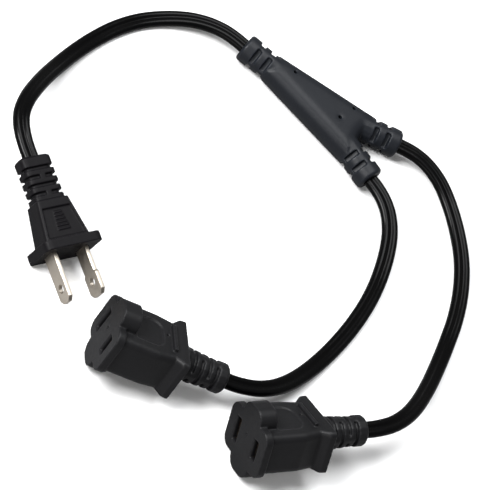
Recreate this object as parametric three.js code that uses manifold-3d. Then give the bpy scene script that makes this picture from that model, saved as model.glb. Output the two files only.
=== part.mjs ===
// A power cord splitter: one two-blade plug, a Y-moulding and two sockets, joined by flat twin cords.
// Millimetres, +Z up, resting on the floor at z = 0. Each moulding is built along its own local x axis,
// which runs from its mating face towards its cord, with y sideways and z towards its upper broad side.

import * as THREE from 'three';
import { mergeVertices } from 'three/addons/utils/BufferGeometryUtils.js';
import Module from 'manifold-3d';

const wasm = await Module();
wasm.setup();

// Clearances
const FIT = 0.3;
const OVERCUT = 0.5;

// Flat twin cord: two insulated conductors side by side
const LOBE_RADIUS = 1.4;
const CORE_OFFSET = 1.45;
const CORE_RADIUS = 0.6;
const CORD_STEP = 17;
const ROUND_SIDES = 16;
const CORE_SIDES = 5;

// Blades, at the standard spacing and section of a two-blade plug
const BLADE_SPACING = 12.7;
const BLADE_THICKNESS = 1.5;
const BLADE_LENGTH = 17;
const BLADE_WIDTH = 6.35;
const WIDE_BLADE_WIDTH = 7.9;
const WIDE_BLADE_FLARE = 7.5;
const BLADE_TIP_CHAMFER = 1.5;
const BLADE_HOLE_RADIUS = 1.6;
const BLADE_HOLE_FROM_FACE = 12;
const BLADE_ROOT_WIDTH = 3.6;

// Crimp barrels at the inner ends of blades and contacts
const BARREL_RADIUS = 1.45;
const BARREL_BORE = CORE_RADIUS + FIT;
const BARREL_LENGTH = 5;

// Plug moulding
const PLUG_FLANGE = { width: 22.8, height: 15.8, depth: 3.4, corner: 2.4 };
const PLUG_FACE_WALL = 1.3;
const PLUG_BODY = { end: 18.6, rootWidth: 18.2, rootHeight: 10, neckWidth: 12.8, neckHeight: 8.2, corner: 1.3 };
const PLUG_GRIP = { start: 4.6, end: 15.4, margin: 1.4, depth: 0.7 };
const PLUG_GRIP_BARS = { count: 6, pitch: 1.25, width: 0.5, height: 0.35, shortest: 2.6, growth: 0.35, start: 7.2 };
const PLUG_RELIEF = { end: 35, width: 12, height: 7, corner: 1.8 };
const PLUG_CAP = { length: 4, chamfer: 0.8 };
const PLUG_GROOVE = { count: 4, width: 1.3, depth: 0.9, bridge: 2.2 };
const PLUG_CARRIER = { width: 15.4, height: 6, depth: 4.4 };
const PLUG_BARREL_Y = 4.4;
const PLUG_JOG = { start: 6.3, depth: 1.4 };
const PLUG_JACKET_END = 18.5;

// Socket moulding
const SOCKET_FLANGE = { width: 24.6, height: 17.8, depth: 2.9, corner: 3.8 };
const SOCKET_LOBE = { width: 11.8, reach: 13.6, depth: 6.8, corner: 4.4 };
const SOCKET_FACE_WALL = 2;
const SLOT_WIDTH = 2.5;
const SLOT_CHAMFER = 0.4;
const WIDE_SLOT_LENGTH = 9;
const NARROW_SLOT_LENGTH = 7.2;
const MOULD_DOT = { radius: 0.5, depth: 0.6, offset: 2.2 };
const SOCKET_BODY = { end: 23.6, width: 22, height: 15.6, corner: 2.4, waist: 1.3 };
const LABEL_PANEL = { start: 7.8, end: 18.4, width: 12.6, depth: 0.5, corner: 3.6 };
const SOCKET_PIN = { x: 20.4, y: 1, radius: 0.6, depth: 0.9 };
const SOCKET_FIN = { end: 27.8, width: 24, height: 16.8, corner: 1.6 };
const FIN_BAR = { width: 12.6, depth: 1.5, rise: 1.3, groove: 1.1, notch: 1.6 };
const SOCKET_RELIEF = { end: 46.5, rootRadius: 6.2, endRadius: 5.2 };
const SOCKET_CAP = { length: 4.2, chamfer: 1, radius: 5.5 };
const SOCKET_GROOVE = { count: 4, width: 1.3, depth: 1.1, bridge: 2.6 };
const SOCKET_CARRIER = { end: 17, width: 18.4, height: 12, rearWall: 1.5 };
const CONTACT = { front: 3, base: 13, wall: 0.5, mouth: 1.5, pinch: 0.7, pinchX: 5.2, spread: 1.5 };
const WIDE_CONTACT_WIDTH = 8;
const NARROW_CONTACT_WIDTH = 6.5;
const WELL = { width: 4.2, height: 9.2 };
const SOCKET_JACKET_END = 31;

// Y-moulding, from the end of its single neck
const SPLITTER_THICKNESS = 10.4;
const SPLITTER_EDGE = 4.6;
const SINGLE_NECK = 11.6;
const SPLITTER_LENGTH = 65;
const BRANCH_SPACING = 21.2;
const BRANCH_ANGLE = THREE.MathUtils.degToRad(18);
const BRANCH_NECK = 12.6;
const NECK_RADIUS = 5.1;
const NECK_CAP = { radius: 5.3, length: 4.7, chamfer: 0.7 };
const NECK_GROOVE = { width: 1.5, depth: 1.3, bridge: 2.4 };
const NECK_RING = 3.9;
const SPLITTER_ROOT_HALF = 6;
const CROTCH_X = 52.5;
const SPLITTER_PINS = [[20, 2.6], [44.5, 7.6], [42.5, -1.2]];
const SPLITTER_PIN = { radius: 0.6, depth: 1.2 };
const NECK_JACKET = 14;
const SLEEVE = { radius: 2.3, bore: 1.75, start: 26, length: 8, y: 3.2 };
const SLEEVE_CORE_LIFT = 0.78;
const CROSSING_LIFT = 1.5;

// Where each moulding lies, and how it leans on its own edges
const degrees = THREE.MathUtils.degToRad;
const PLUG_PLACE = { x: -62.9, y: 52.9, heading: degrees(61.5), pitch: degrees(-7), roll: 0 };
const SOCKET_A_PLACE = { x: -82, y: 25.3, heading: degrees(-60.8), pitch: degrees(6), roll: degrees(-18) };
const SOCKET_B_PLACE = { x: -75.4, y: -33.6, heading: degrees(-37.2), pitch: degrees(0.5), roll: degrees(-29) };
const SPLITTER_PLACE = { x: 63, y: 57.7, heading: degrees(-87), pitch: 0, roll: 0 };

// Free stretches of the cords on the floor, from the Y-moulding outwards
const SUPPLY_ROUTE = [
  [62.1, 66.1, 5.1], [60.4, 71.4, 4.6], [57.1, 77.5, 3.6], [51.5, 83.9, 2.3], [42.6, 90.4, 1.5], [32.4, 94.8, 1.5],
  [21.6, 97.6, 1.6], [10.5, 99.2, 2.5], [-1, 99.9, 4.8], [-12.5, 100, 8], [-23.4, 99.3, 11], [-29.4, 98.3, 12.3],
  [-34.8, 96.5, 13], [-38.9, 93.8, 13.2], [-42.1, 90.4, 13],
];
const BRANCH_A_ROUTE = [
  [53.1, -15.8, 5.1], [50.1, -20.4, 4.6], [45, -25.2, 3.6], [37.7, -29.4, 2.3], [27.4, -33.1, 1.5],
  [16.8, -35.4, 1.5], [6, -36.6, 1.5], [-4.8, -36.9, 1.5], [-15.7, -36.4, 1.6], [-26.5, -35.1, 2.6],
  [-37.1, -32.8, 4.5], [-45, -29.8, 6.2], [-50.9, -26, 7.5], [-54.8, -22.2, 8.4],
];
const BRANCH_B_ROUTE = [
  [79.6, -14.7, 5.1], [80, -20.2, 4.6], [78.8, -27.1, 3.6], [75.2, -34.8, 2.3], [67.7, -44.3, 1.5],
  [58.5, -52.2, 1.5], [48, -58.4, 1.5], [36.8, -63, 1.5], [25, -66.3, 1.6], [13.1, -68.7, 3.2],
  [1, -70.4, 5.9], [-11.1, -71.1, 9], [-19.6, -70.5, 10.9], [-26.4, -68.8, 12], [-31.4, -66.5, 12.6],
];
const STRAIGHT_EXIT = 4;
// The middle of the mouldings' footprint, which is the product's origin
const FOOTPRINT_CENTRE = { x: -6.08, y: 10.29 };

// Materials
const finish = (color, roughness, metalness = 0) =>
  new THREE.MeshStandardMaterial({ color, roughness, metalness });
const MATERIALS = {
  moulding: () => finish(0x26262b, 0.55),
  splitter: () => finish(0x2d2f35, 0.5),
  jacket: () => finish(0x0b0b0c, 0.3),
  carrier: () => finish(0x44464c, 0.6),
  blade: () => finish(0xb9ae9c, 0.3, 1),
  contact: () => finish(0xb98a3c, 0.35, 1),
  sleeve: () => finish(0x9a9a98, 0.4, 1),
  copper: () => finish(0xb5623a, 0.4, 1),
};

// Solids
function toSolid(geometry) {
  const bare = geometry.clone();
  bare.deleteAttribute('normal');
  bare.deleteAttribute('uv');
  const merged = mergeVertices(bare, 1e-4);
  const mesh = new wasm.Mesh({
    numProp: 3,
    vertProperties: new Float32Array(merged.attributes.position.array),
    triVerts: new Uint32Array(merged.index.array),
  });
  return new wasm.Manifold(mesh);
}

function toGeometry(solid) {
  const { vertProperties, triVerts } = solid.getMesh();
  const geometry = new THREE.BufferGeometry();
  geometry.setAttribute('position', new THREE.BufferAttribute(new Float32Array(vertProperties), 3));
  geometry.setIndex(new THREE.BufferAttribute(new Uint32Array(triVerts), 1));
  geometry.computeVertexNormals();
  return geometry;
}

const union = (solids) => solids.reduce((whole, next) => whole.add(next));
const without = (solid, cutters) => solid.subtract(union(cutters));

// Sections are drawn in the local y-z plane and run along local x.
const SECTION_TO_X = new THREE.Matrix4().makeBasis(
  new THREE.Vector3(0, 1, 0), new THREE.Vector3(0, 0, 1), new THREE.Vector3(1, 0, 0));
// Side outlines are drawn in the local x-z plane and run along local y.
const SIDE_TO_Y = new THREE.Matrix4().makeBasis(
  new THREE.Vector3(1, 0, 0), new THREE.Vector3(0, 0, 1), new THREE.Vector3(0, -1, 0));

function roundedRect(width, height, radius) {
  const [w, h] = [width / 2, height / 2];
  const shape = new THREE.Shape();
  shape.moveTo(w, -h + radius);
  shape.absarc(w - radius, h - radius, radius, 0, Math.PI / 2);
  shape.absarc(-w + radius, h - radius, radius, Math.PI / 2, Math.PI);
  shape.absarc(-w + radius, -h + radius, radius, Math.PI, Math.PI * 1.5);
  shape.absarc(w - radius, -h + radius, radius, Math.PI * 1.5, Math.PI * 2);
  return shape;
}

function disc(radius) {
  const shape = new THREE.Shape();
  shape.absarc(0, 0, radius, 0, Math.PI * 2);
  return shape;
}

// A prism along x from start to end; widthAt and heightAt scale its sections where it tapers.
function prism(shape, start, end, { segments = 4, steps = 1, widthAt = () => 1, heightAt = () => 1 } = {}) {
  const geometry = new THREE.ExtrudeGeometry(shape, {
    depth: end - start, bevelEnabled: false, curveSegments: segments, steps,
  });
  geometry.applyMatrix4(SECTION_TO_X).translate(start, 0, 0);
  const { position } = geometry.attributes;
  for (let i = 0; i < position.count; i += 1) {
    const x = position.getX(i);
    position.setXYZ(i, x, position.getY(i) * widthAt(x), position.getZ(i) * heightAt(x));
  }
  return toSolid(geometry);
}

const rod = (radius, start, end, segments = ROUND_SIDES) => {
  const geometry = new THREE.CylinderGeometry(radius, radius, end - start, segments);
  return toSolid(geometry.rotateZ(-Math.PI / 2).translate((start + end) / 2, 0, 0));
};

// A turned solid: pairs of x and radius, closed on the axis.
function turned(profile, segments = ROUND_SIDES) {
  const outline = [[profile[0][0], 0], ...profile, [profile.at(-1)[0], 0]];
  const points = outline.map(([x, radius]) => new THREE.Vector2(radius, x));
  return toSolid(new THREE.LatheGeometry(points, segments).rotateZ(-Math.PI / 2));
}

const block = (x0, x1, width, height, y = 0, z = 0) =>
  toSolid(new THREE.BoxGeometry(x1 - x0, width, height).translate((x0 + x1) / 2, y, z));

// A pin hole or a bump standing along local z.
const post = (radius, x, y, z0, z1) => {
  const geometry = new THREE.CylinderGeometry(radius, radius, z1 - z0, 10).rotateX(Math.PI / 2);
  return toSolid(geometry.translate(x, y, (z0 + z1) / 2));
};

// A linear blend of two values between two places along x.
const blend = (x, x0, x1, v0, v1) => v0 + (v1 - v0) * THREE.MathUtils.clamp((x - x0) / (x1 - x0), 0, 1);

// A groove round a neck, left whole where its bridges are.
function groove(start, width, outer, inner, bridges) {
  const ring = outer(start, start + width).subtract(inner(start - OVERCUT, start + width + OVERCUT));
  return without(ring, bridges(start - OVERCUT, start + width + OVERCUT));
}

// A path of straight steps whose section stays level: its width lies sideways, along the floor.
class LevelPath extends THREE.Curve {
  constructor(points) {
    super();
    this.points = points;
  }

  getPoint(t) {
    const place = THREE.MathUtils.clamp(t, 0, 1) * (this.points.length - 1);
    const index = Math.min(Math.floor(place), this.points.length - 2);
    return this.points[index].clone().lerp(this.points[index + 1], place - index);
  }

  getPointAt(u) {
    return this.getPoint(u);
  }

  directionAt(index) {
    const before = this.points[Math.max(index - 1, 0)];
    const after = this.points[Math.min(index + 1, this.points.length - 1)];
    return after.clone().sub(before).normalize();
  }

  sideAt(index) {
    return new THREE.Vector3(0, 0, 1).cross(this.directionAt(index)).normalize();
  }

  computeFrenetFrames() {
    const tangents = this.points.map((_, index) => this.directionAt(index));
    const normals = this.points.map((_, index) => this.sideAt(index));
    const binormals = tangents.map((tangent, index) => tangent.clone().cross(normals[index]));
    return { tangents, normals, binormals };
  }

  offset(distance) {
    return this.points.map((point, index) => point.clone().addScaledVector(this.sideAt(index), distance));
  }
}

// A solid of one section along a list of points.
function sweep(points, shape, segments) {
  const geometry = new THREE.ExtrudeGeometry(shape, {
    steps: points.length - 1, extrudePath: new LevelPath(points), curveSegments: segments,
  });
  return toSolid(geometry);
}

const wire = (points, radius = CORE_RADIUS) => sweep(points, disc(radius), CORE_SIDES);

// The flat cord's outline: two round lobes, grown by a clearance for the bores that hold it.
function twinOutline(grow = 0) {
  const shape = new THREE.Shape();
  const opening = Math.PI * 0.69;
  shape.absarc(CORE_OFFSET, 0, LOBE_RADIUS + grow, -opening, opening);
  shape.absarc(-CORE_OFFSET, 0, LOBE_RADIUS + grow, Math.PI - opening, Math.PI + opening);
  return shape;
}

function jacketOutline() {
  const shape = twinOutline();
  for (const side of [-1, 1]) {
    const bore = new THREE.Path();
    bore.absarc(side * CORE_OFFSET, 0, CORE_RADIUS + FIT, 0, Math.PI * 2);
    shape.holes.push(bore);
  }
  return shape;
}

const vectors = (list) => list.map((point) => new THREE.Vector3(...point));

// Plug
const bladeY = BLADE_SPACING / 2;
const plugCarrierStart = PLUG_FACE_WALL + FIT;
const plugCarrierEnd = plugCarrierStart + PLUG_CARRIER.depth;
const plugJogEnd = PLUG_JOG.start + PLUG_JOG.depth;
const plugBarrelEnd = plugJogEnd + BARREL_LENGTH;

function bladeOutline(tipWidth) {
  const half = BLADE_WIDTH / 2;
  const tip = tipWidth / 2;
  const root = BLADE_ROOT_WIDTH / 2;
  const flare = -BLADE_LENGTH + WIDE_BLADE_FLARE;
  const shape = new THREE.Shape();
  shape.moveTo(PLUG_JOG.start, -root);
  shape.lineTo(PLUG_JOG.start, root);
  shape.lineTo(PLUG_FACE_WALL - FIT, root);
  shape.lineTo(PLUG_FACE_WALL - FIT, half);
  if (tip > half) {
    shape.lineTo(flare + (tip - half), half);
    shape.lineTo(flare, tip);
  }
  shape.lineTo(-BLADE_LENGTH + BLADE_TIP_CHAMFER, tip);
  shape.lineTo(-BLADE_LENGTH, tip - BLADE_TIP_CHAMFER);
  shape.lineTo(-BLADE_LENGTH, -tip + BLADE_TIP_CHAMFER);
  shape.lineTo(-BLADE_LENGTH + BLADE_TIP_CHAMFER, -tip);
  if (tip > half) {
    shape.lineTo(flare, -tip);
    shape.lineTo(flare + (tip - half), -half);
  }
  shape.lineTo(PLUG_FACE_WALL - FIT, -half);
  shape.lineTo(PLUG_FACE_WALL - FIT, -root);
  const hole = new THREE.Path();
  hole.absarc(-BLADE_HOLE_FROM_FACE, 0, BLADE_HOLE_RADIUS, 0, Math.PI * 2);
  shape.holes.push(hole);
  return shape;
}

function barrel(start, y, end = start + BARREL_LENGTH) {
  const bore = rod(BARREL_BORE, start + FIT, end + OVERCUT, 10).translate([0, y, 0]);
  return rod(BARREL_RADIUS, start - FIT, end, 12).translate([0, y, 0]).subtract(bore);
}

function plugBlade(side, tipWidth) {
  const geometry = new THREE.ExtrudeGeometry(bladeOutline(tipWidth), {
    depth: BLADE_THICKNESS, bevelEnabled: false, curveSegments: 6,
  });
  geometry.applyMatrix4(SIDE_TO_Y).translate(0, side * bladeY + BLADE_THICKNESS / 2, 0);
  const outerEdge = bladeY + BLADE_THICKNESS / 2;
  const innerEdge = PLUG_BARREL_Y - BARREL_RADIUS;
  const jog = block(PLUG_JOG.start - OVERCUT, plugJogEnd, outerEdge - innerEdge, BLADE_ROOT_WIDTH,
    side * (outerEdge + innerEdge) / 2);
  return union([toSolid(geometry), jog, barrel(plugJogEnd, side * PLUG_BARREL_Y)]);
}

function plugCarrier() {
  const body = prism(roundedRect(PLUG_CARRIER.width, PLUG_CARRIER.height, 1), plugCarrierStart, PLUG_JOG.start
    - OVERCUT - FIT, { segments: 2 });
  const slot = (side) => block(plugCarrierStart - OVERCUT, plugCarrierEnd + OVERCUT,
    BLADE_THICKNESS + 2 * FIT, BLADE_ROOT_WIDTH + 2 * FIT, side * bladeY);
  return without(body, [slot(-1), slot(1)]);
}

// Tail of one conductor inside the plug, from its barrel to the end of the jacket.
function plugTail(side) {
  return vectors([
    [plugJogEnd + 1, side * PLUG_BARREL_Y, 0],
    [plugBarrelEnd + FIT, side * PLUG_BARREL_Y, 0],
    [plugBarrelEnd + 2.4, side * (PLUG_BARREL_Y * 0.6 + CORE_OFFSET * 0.4), 0],
    [PLUG_JACKET_END - 1, side * CORE_OFFSET, 0],
  ]);
}

function plugGrip(face) {
  const { start, end, margin, depth } = PLUG_GRIP;
  const widthAt = (x) => blend(x, PLUG_FLANGE.depth, PLUG_BODY.end, PLUG_BODY.rootWidth, PLUG_BODY.neckWidth)
    - 2 * margin;
  const floorAt = (x) => blend(x, PLUG_FLANGE.depth, PLUG_BODY.end, PLUG_BODY.rootHeight, PLUG_BODY.neckHeight)
    / 2 - depth;
  const shape = new THREE.Shape();
  shape.moveTo(start, -widthAt(start) / 2);
  shape.lineTo(end, -widthAt(end) / 2);
  shape.lineTo(end, widthAt(end) / 2);
  shape.lineTo(start, widthAt(start) / 2);
  const geometry = new THREE.ExtrudeGeometry(shape, { depth: 2 * depth, bevelEnabled: false });
  const { position } = geometry.attributes;
  for (let i = 0; i < position.count; i += 1) {
    position.setZ(i, position.getZ(i) + floorAt(position.getX(i)));
  }
  const pocket = toSolid(geometry);
  const bars = Array.from({ length: PLUG_GRIP_BARS.count }, (_, row) => {
    const x = PLUG_GRIP_BARS.start + row * PLUG_GRIP_BARS.pitch;
    const length = PLUG_GRIP_BARS.shortest + (PLUG_GRIP_BARS.count - row) * PLUG_GRIP_BARS.growth;
    return block(x, x + PLUG_GRIP_BARS.width, length, 2 * PLUG_GRIP_BARS.height, 0, floorAt(x));
  });
  return pocket.subtract(union(bars)).rotate([face > 0 ? 0 : 180, 0, 0]);
}

function plugOvermould() {
  const { rootWidth, rootHeight, neckWidth, neckHeight, corner, end } = PLUG_BODY;
  const flange = prism(roundedRect(PLUG_FLANGE.width, PLUG_FLANGE.height, PLUG_FLANGE.corner), 0,
    PLUG_FLANGE.depth, { segments: 3 });
  const body = prism(roundedRect(rootWidth, rootHeight, corner), PLUG_FLANGE.depth - OVERCUT, end, {
    segments: 2,
    widthAt: (x) => blend(x, PLUG_FLANGE.depth, end, rootWidth, neckWidth) / rootWidth,
    heightAt: (x) => blend(x, PLUG_FLANGE.depth, end, rootHeight, neckHeight) / rootHeight,
  });
  const relief = PLUG_RELIEF;
  const neck = (start, stop, cut = 0, grow = 0) => prism(
    roundedRect(relief.width - 2 * cut + grow, relief.height - 2 * cut + grow, relief.corner), start, stop,
    { segments: 2 });
  const capTip = prism(roundedRect(relief.width, relief.height, relief.corner), relief.end - PLUG_CAP.chamfer,
    relief.end, {
      segments: 2,
      widthAt: (x) => blend(x, relief.end - PLUG_CAP.chamfer, relief.end, 1, 1 - 2 * PLUG_CAP.chamfer / relief.width),
      heightAt: (x) => blend(x, relief.end - PLUG_CAP.chamfer, relief.end, 1, 1 - 2 * PLUG_CAP.chamfer / relief.height),
    });
  const outer = union([flange, body, neck(end - OVERCUT, relief.end - PLUG_CAP.chamfer), capTip]);

  const capStart = relief.end - PLUG_CAP.length;
  const pitch = (capStart - end) / PLUG_GROOVE.count;
  const grooves = Array.from({ length: PLUG_GROOVE.count }, (_, row) => {
    const start = capStart - row * pitch - PLUG_GROOVE.width;
    const bridges = (x0, x1) => (row % 2 === 0
      ? [block(x0, x1, relief.width + 2, PLUG_GROOVE.bridge / 2)]
      : [block(x0, x1, PLUG_GROOVE.bridge, relief.height + 2)]);
    return groove(start, PLUG_GROOVE.width, (x0, x1) => neck(x0, x1, 0, 1),
      (x0, x1) => neck(x0, x1, PLUG_GROOVE.depth), bridges);
  });

  const slots = [[1, BLADE_WIDTH], [-1, BLADE_WIDTH]].map(([side, width]) => block(-OVERCUT,
    plugCarrierStart, BLADE_THICKNESS + 2 * FIT, width + 2 * FIT, side * bladeY));
  const seat = prism(roundedRect(PLUG_CARRIER.width + 2 * FIT, PLUG_CARRIER.height + 2 * FIT, 1),
    PLUG_FACE_WALL, PLUG_JOG.start - OVERCUT, { segments: 2 });
  const chambers = [-1, 1].flatMap((side) => {
    const outerEdge = bladeY + BLADE_THICKNESS / 2 + FIT;
    const innerEdge = PLUG_BARREL_Y - BARREL_RADIUS - FIT;
    const jog = block(PLUG_JOG.start - OVERCUT - FIT, plugJogEnd + FIT, outerEdge - innerEdge,
      BLADE_ROOT_WIDTH + 2 * FIT, side * (outerEdge + innerEdge) / 2);
    const bore = rod(BARREL_RADIUS + FIT, plugJogEnd, plugBarrelEnd + FIT, 12)
      .translate([0, side * PLUG_BARREL_Y, 0]);
    const tail = plugTail(side);
    const last = tail.at(-1).clone().setX(PLUG_JACKET_END + OVERCUT);
    return [jog, bore, wire([...tail, last], CORE_RADIUS + FIT)];
  });
  const cordBore = prism(twinOutline(FIT), PLUG_JACKET_END - FIT, relief.end + OVERCUT, { segments: 5 });
  return without(outer, [...grooves, plugGrip(1), plugGrip(-1), ...slots, seat, ...chambers, cordBore]);
}

// Socket
const contactY = BLADE_SPACING / 2;
const socketBarrelEnd = SOCKET_CARRIER.end + 1.6;

// A folded strip: two springy arms that grip a blade, joined at their base.
function socketContact(side, width) {
  const { front, base, wall, mouth, pinch, pinchX, spread } = CONTACT;
  const arm = [[front, mouth], [pinchX, pinch], [base - wall, spread]];
  const shape = new THREE.Shape();
  shape.moveTo(...arm[0]);
  arm.slice(1).forEach((point) => shape.lineTo(...point));
  arm.toReversed().forEach(([x, y]) => shape.lineTo(x, -y));
  arm.forEach(([x, y], index) => shape.lineTo(index === 2 ? base : x, -y - wall));
  arm.toReversed().forEach(([x, y], index) => shape.lineTo(index === 0 ? base : x, y + wall));
  const geometry = new THREE.ExtrudeGeometry(shape, { depth: width, bevelEnabled: false });
  const clip = toSolid(geometry.translate(0, side * contactY, -width / 2));
  return clip.add(barrel(base, side * contactY, socketBarrelEnd));
}

function socketCarrier() {
  const start = SOCKET_FACE_WALL + FIT;
  const { end, width, height, rearWall } = SOCKET_CARRIER;
  const body = prism(roundedRect(width, height, 1.2), start, end, { segments: 2 });
  const wells = [-1, 1].flatMap((side) => [
    block(start - OVERCUT, end - rearWall, WELL.width, WELL.height, side * contactY),
    rod(BARREL_RADIUS + FIT, end - rearWall - OVERCUT, end + OVERCUT, 12).translate([0, side * contactY, 0]),
  ]);
  return without(body, wells);
}

function socketTail(side) {
  return vectors([
    [CONTACT.base + 1, side * contactY, 0],
    [socketBarrelEnd + FIT, side * contactY, 0],
    [socketBarrelEnd + 2.6, side * (contactY * 0.72 + CORE_OFFSET * 0.28), 0],
    [SOCKET_JACKET_END - 4, side * (contactY * 0.28 + CORE_OFFSET * 0.72), 0],
    [SOCKET_JACKET_END - 1, side * CORE_OFFSET, 0],
  ]);
}

function slotCutter(side, length) {
  const through = block(-OVERCUT, SOCKET_FACE_WALL + OVERCUT, SLOT_WIDTH, length, side * contactY);
  const flared = prism(roundedRect(SLOT_WIDTH, length, 0.1), -SLOT_CHAMFER, SLOT_CHAMFER, {
    segments: 1,
    widthAt: (x) => blend(x, -SLOT_CHAMFER, SLOT_CHAMFER, 1 + 4 * SLOT_CHAMFER / SLOT_WIDTH, 1),
    heightAt: (x) => blend(x, -SLOT_CHAMFER, SLOT_CHAMFER, 1 + 4 * SLOT_CHAMFER / length, 1),
  });
  return through.add(flared.translate([0, side * contactY, 0]));
}

// The moulded block between flange and fin, whose flanks draw in a little before the fin.
function socketBody() {
  const { end, width, height, corner, waist } = SOCKET_BODY;
  const middle = (SOCKET_FLANGE.depth + end) * 0.62;
  return prism(roundedRect(width, height, corner), SOCKET_FLANGE.depth - OVERCUT, end, {
    segments: 2,
    steps: 3,
    widthAt: (x) => 1 - blend(x, middle, end, 0, 2 * waist) / width,
  });
}

function socketFin() {
  const { end, width, height, corner } = SOCKET_FIN;
  const start = SOCKET_BODY.end - OVERCUT;
  const flare = (x, full, root) => blend(x, start, start + (end - start) * 0.55, root, full) / full;
  const rootWidth = SOCKET_BODY.width - 2 * SOCKET_BODY.waist;
  const plate = prism(roundedRect(width, height, corner), start, end, {
    segments: 2,
    steps: 2,
    widthAt: (x) => flare(x, width, rootWidth),
    heightAt: (x) => flare(x, height, SOCKET_BODY.height),
  });
  const barTop = SOCKET_BODY.height / 2 + FIN_BAR.rise;
  const bar = block(start - FIN_BAR.depth, start + OVERCUT, FIN_BAR.width, FIN_BAR.rise + 1, 0,
    barTop - (FIN_BAR.rise + 1) / 2);
  const slit = block(start, start + FIN_BAR.groove, FIN_BAR.width + 2 * FIN_BAR.notch, FIN_BAR.rise + 1, 0,
    barTop - FIN_BAR.rise / 2 + 0.5);
  return plate.add(bar).subtract(slit);
}

function socketOvermould(boreTurn) {
  const flange = prism(roundedRect(SOCKET_FLANGE.width, SOCKET_FLANGE.height, SOCKET_FLANGE.corner), 0,
    SOCKET_FLANGE.depth, { segments: 3 });
  const lobes = prism(roundedRect(SOCKET_LOBE.width, 2 * SOCKET_LOBE.reach, SOCKET_LOBE.corner), 0,
    SOCKET_LOBE.depth, { segments: 3 });
  const relief = SOCKET_RELIEF;
  const capStart = relief.end - SOCKET_CAP.length;
  const finEnd = SOCKET_FIN.end;
  const radiusAt = (x) => blend(x, finEnd, capStart, relief.rootRadius, relief.endRadius);
  const neck = turned([
    [finEnd - 2 * OVERCUT, relief.rootRadius + 1.2], [finEnd + 1, relief.rootRadius + 0.5],
    [finEnd + 2.2, radiusAt(finEnd + 2.2)], [capStart, relief.endRadius], [capStart, SOCKET_CAP.radius],
    [relief.end - SOCKET_CAP.chamfer, SOCKET_CAP.radius], [relief.end, SOCKET_CAP.radius - SOCKET_CAP.chamfer],
  ]);
  const outer = union([flange, lobes, socketBody(), socketFin(), neck]);

  const pitch = (capStart - finEnd - 2.2) / SOCKET_GROOVE.count;
  const grooves = Array.from({ length: SOCKET_GROOVE.count }, (_, row) => {
    const start = capStart - row * pitch - SOCKET_GROOVE.width;
    const floor = radiusAt(start) - SOCKET_GROOVE.depth;
    const bridges = (x0, x1) => (row % 2 === 0
      ? [block(x0, x1, SOCKET_GROOVE.bridge, 4 * relief.rootRadius)]
      : [block(x0, x1, 4 * relief.rootRadius, SOCKET_GROOVE.bridge)]);
    return groove(start, SOCKET_GROOVE.width, (x0, x1) => rod(relief.rootRadius + 1, x0, x1),
      (x0, x1) => rod(floor, x0, x1), bridges);
  });

  const top = SOCKET_BODY.height / 2;
  const panelLength = LABEL_PANEL.end - LABEL_PANEL.start;
  const panelShape = roundedRect(panelLength + LABEL_PANEL.corner, LABEL_PANEL.width, LABEL_PANEL.corner);
  const panelGeometry = new THREE.ExtrudeGeometry(panelShape, {
    depth: 2 * LABEL_PANEL.depth, bevelEnabled: false, curveSegments: 3,
  });
  panelGeometry.translate(LABEL_PANEL.end - (panelLength + LABEL_PANEL.corner) / 2, 0, top - LABEL_PANEL.depth);
  const panelRoom = block(LABEL_PANEL.start, LABEL_PANEL.end + OVERCUT, LABEL_PANEL.width + 2, 4, 0, top);
  const panel = toSolid(panelGeometry).intersect(panelRoom);

  const pin = post(SOCKET_PIN.radius, SOCKET_PIN.x, SOCKET_PIN.y, top - SOCKET_PIN.depth, top + OVERCUT);
  const dot = rod(MOULD_DOT.radius, -OVERCUT, MOULD_DOT.depth, 8).translate([0, 0, MOULD_DOT.offset]);
  const seat = prism(roundedRect(SOCKET_CARRIER.width + 2 * FIT, SOCKET_CARRIER.height + 2 * FIT, 1.2),
    SOCKET_FACE_WALL, SOCKET_CARRIER.end + FIT, { segments: 2 });
  const chambers = [-1, 1].flatMap((side) => {
    const bore = rod(BARREL_RADIUS + FIT, SOCKET_CARRIER.end - FIT, socketBarrelEnd + FIT, 12)
      .translate([0, side * contactY, 0]);
    const tail = socketTail(side);
    const last = tail.at(-1).clone().setX(SOCKET_JACKET_END + OVERCUT);
    return [bore, wire([...tail, last], CORE_RADIUS + 2 * FIT)];
  });
  const cordBore = prism(twinOutline(FIT), SOCKET_JACKET_END - 2 * FIT, relief.end + OVERCUT, { segments: 5 })
    .rotate([boreTurn, 0, 0]);
  return without(outer, [...grooves, panel, pin, dot, slotCutter(1, WIDE_SLOT_LENGTH),
    slotCutter(-1, NARROW_SLOT_LENGTH), seat, ...chambers, cordBore]);
}

// Y-moulding
const branchEnd = { x: SPLITTER_LENGTH, y: BRANCH_SPACING / 2 };

// Moves a solid or points drawn along a neck, from its end inwards, to that neck.
function branchMatrix(side) {
  const angle = side * BRANCH_ANGLE;
  return new THREE.Matrix4().makeTranslation(branchEnd.x, side * branchEnd.y, 0)
    .multiply(new THREE.Matrix4().makeRotationZ(angle + Math.PI));
}

const inBranch = (side, solid) => solid
  .rotate([0, 0, 180 + THREE.MathUtils.radToDeg(side * BRANCH_ANGLE)])
  .translate([branchEnd.x, side * branchEnd.y, 0]);

// A grooved round neck that starts with its cap at x = 0.
function neckSolid(length) {
  return turned([[0, NECK_CAP.radius - NECK_CAP.chamfer], [NECK_CAP.chamfer, NECK_CAP.radius],
    [NECK_CAP.length, NECK_CAP.radius], [NECK_CAP.length, NECK_RADIUS], [length, NECK_RADIUS]]);
}

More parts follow.
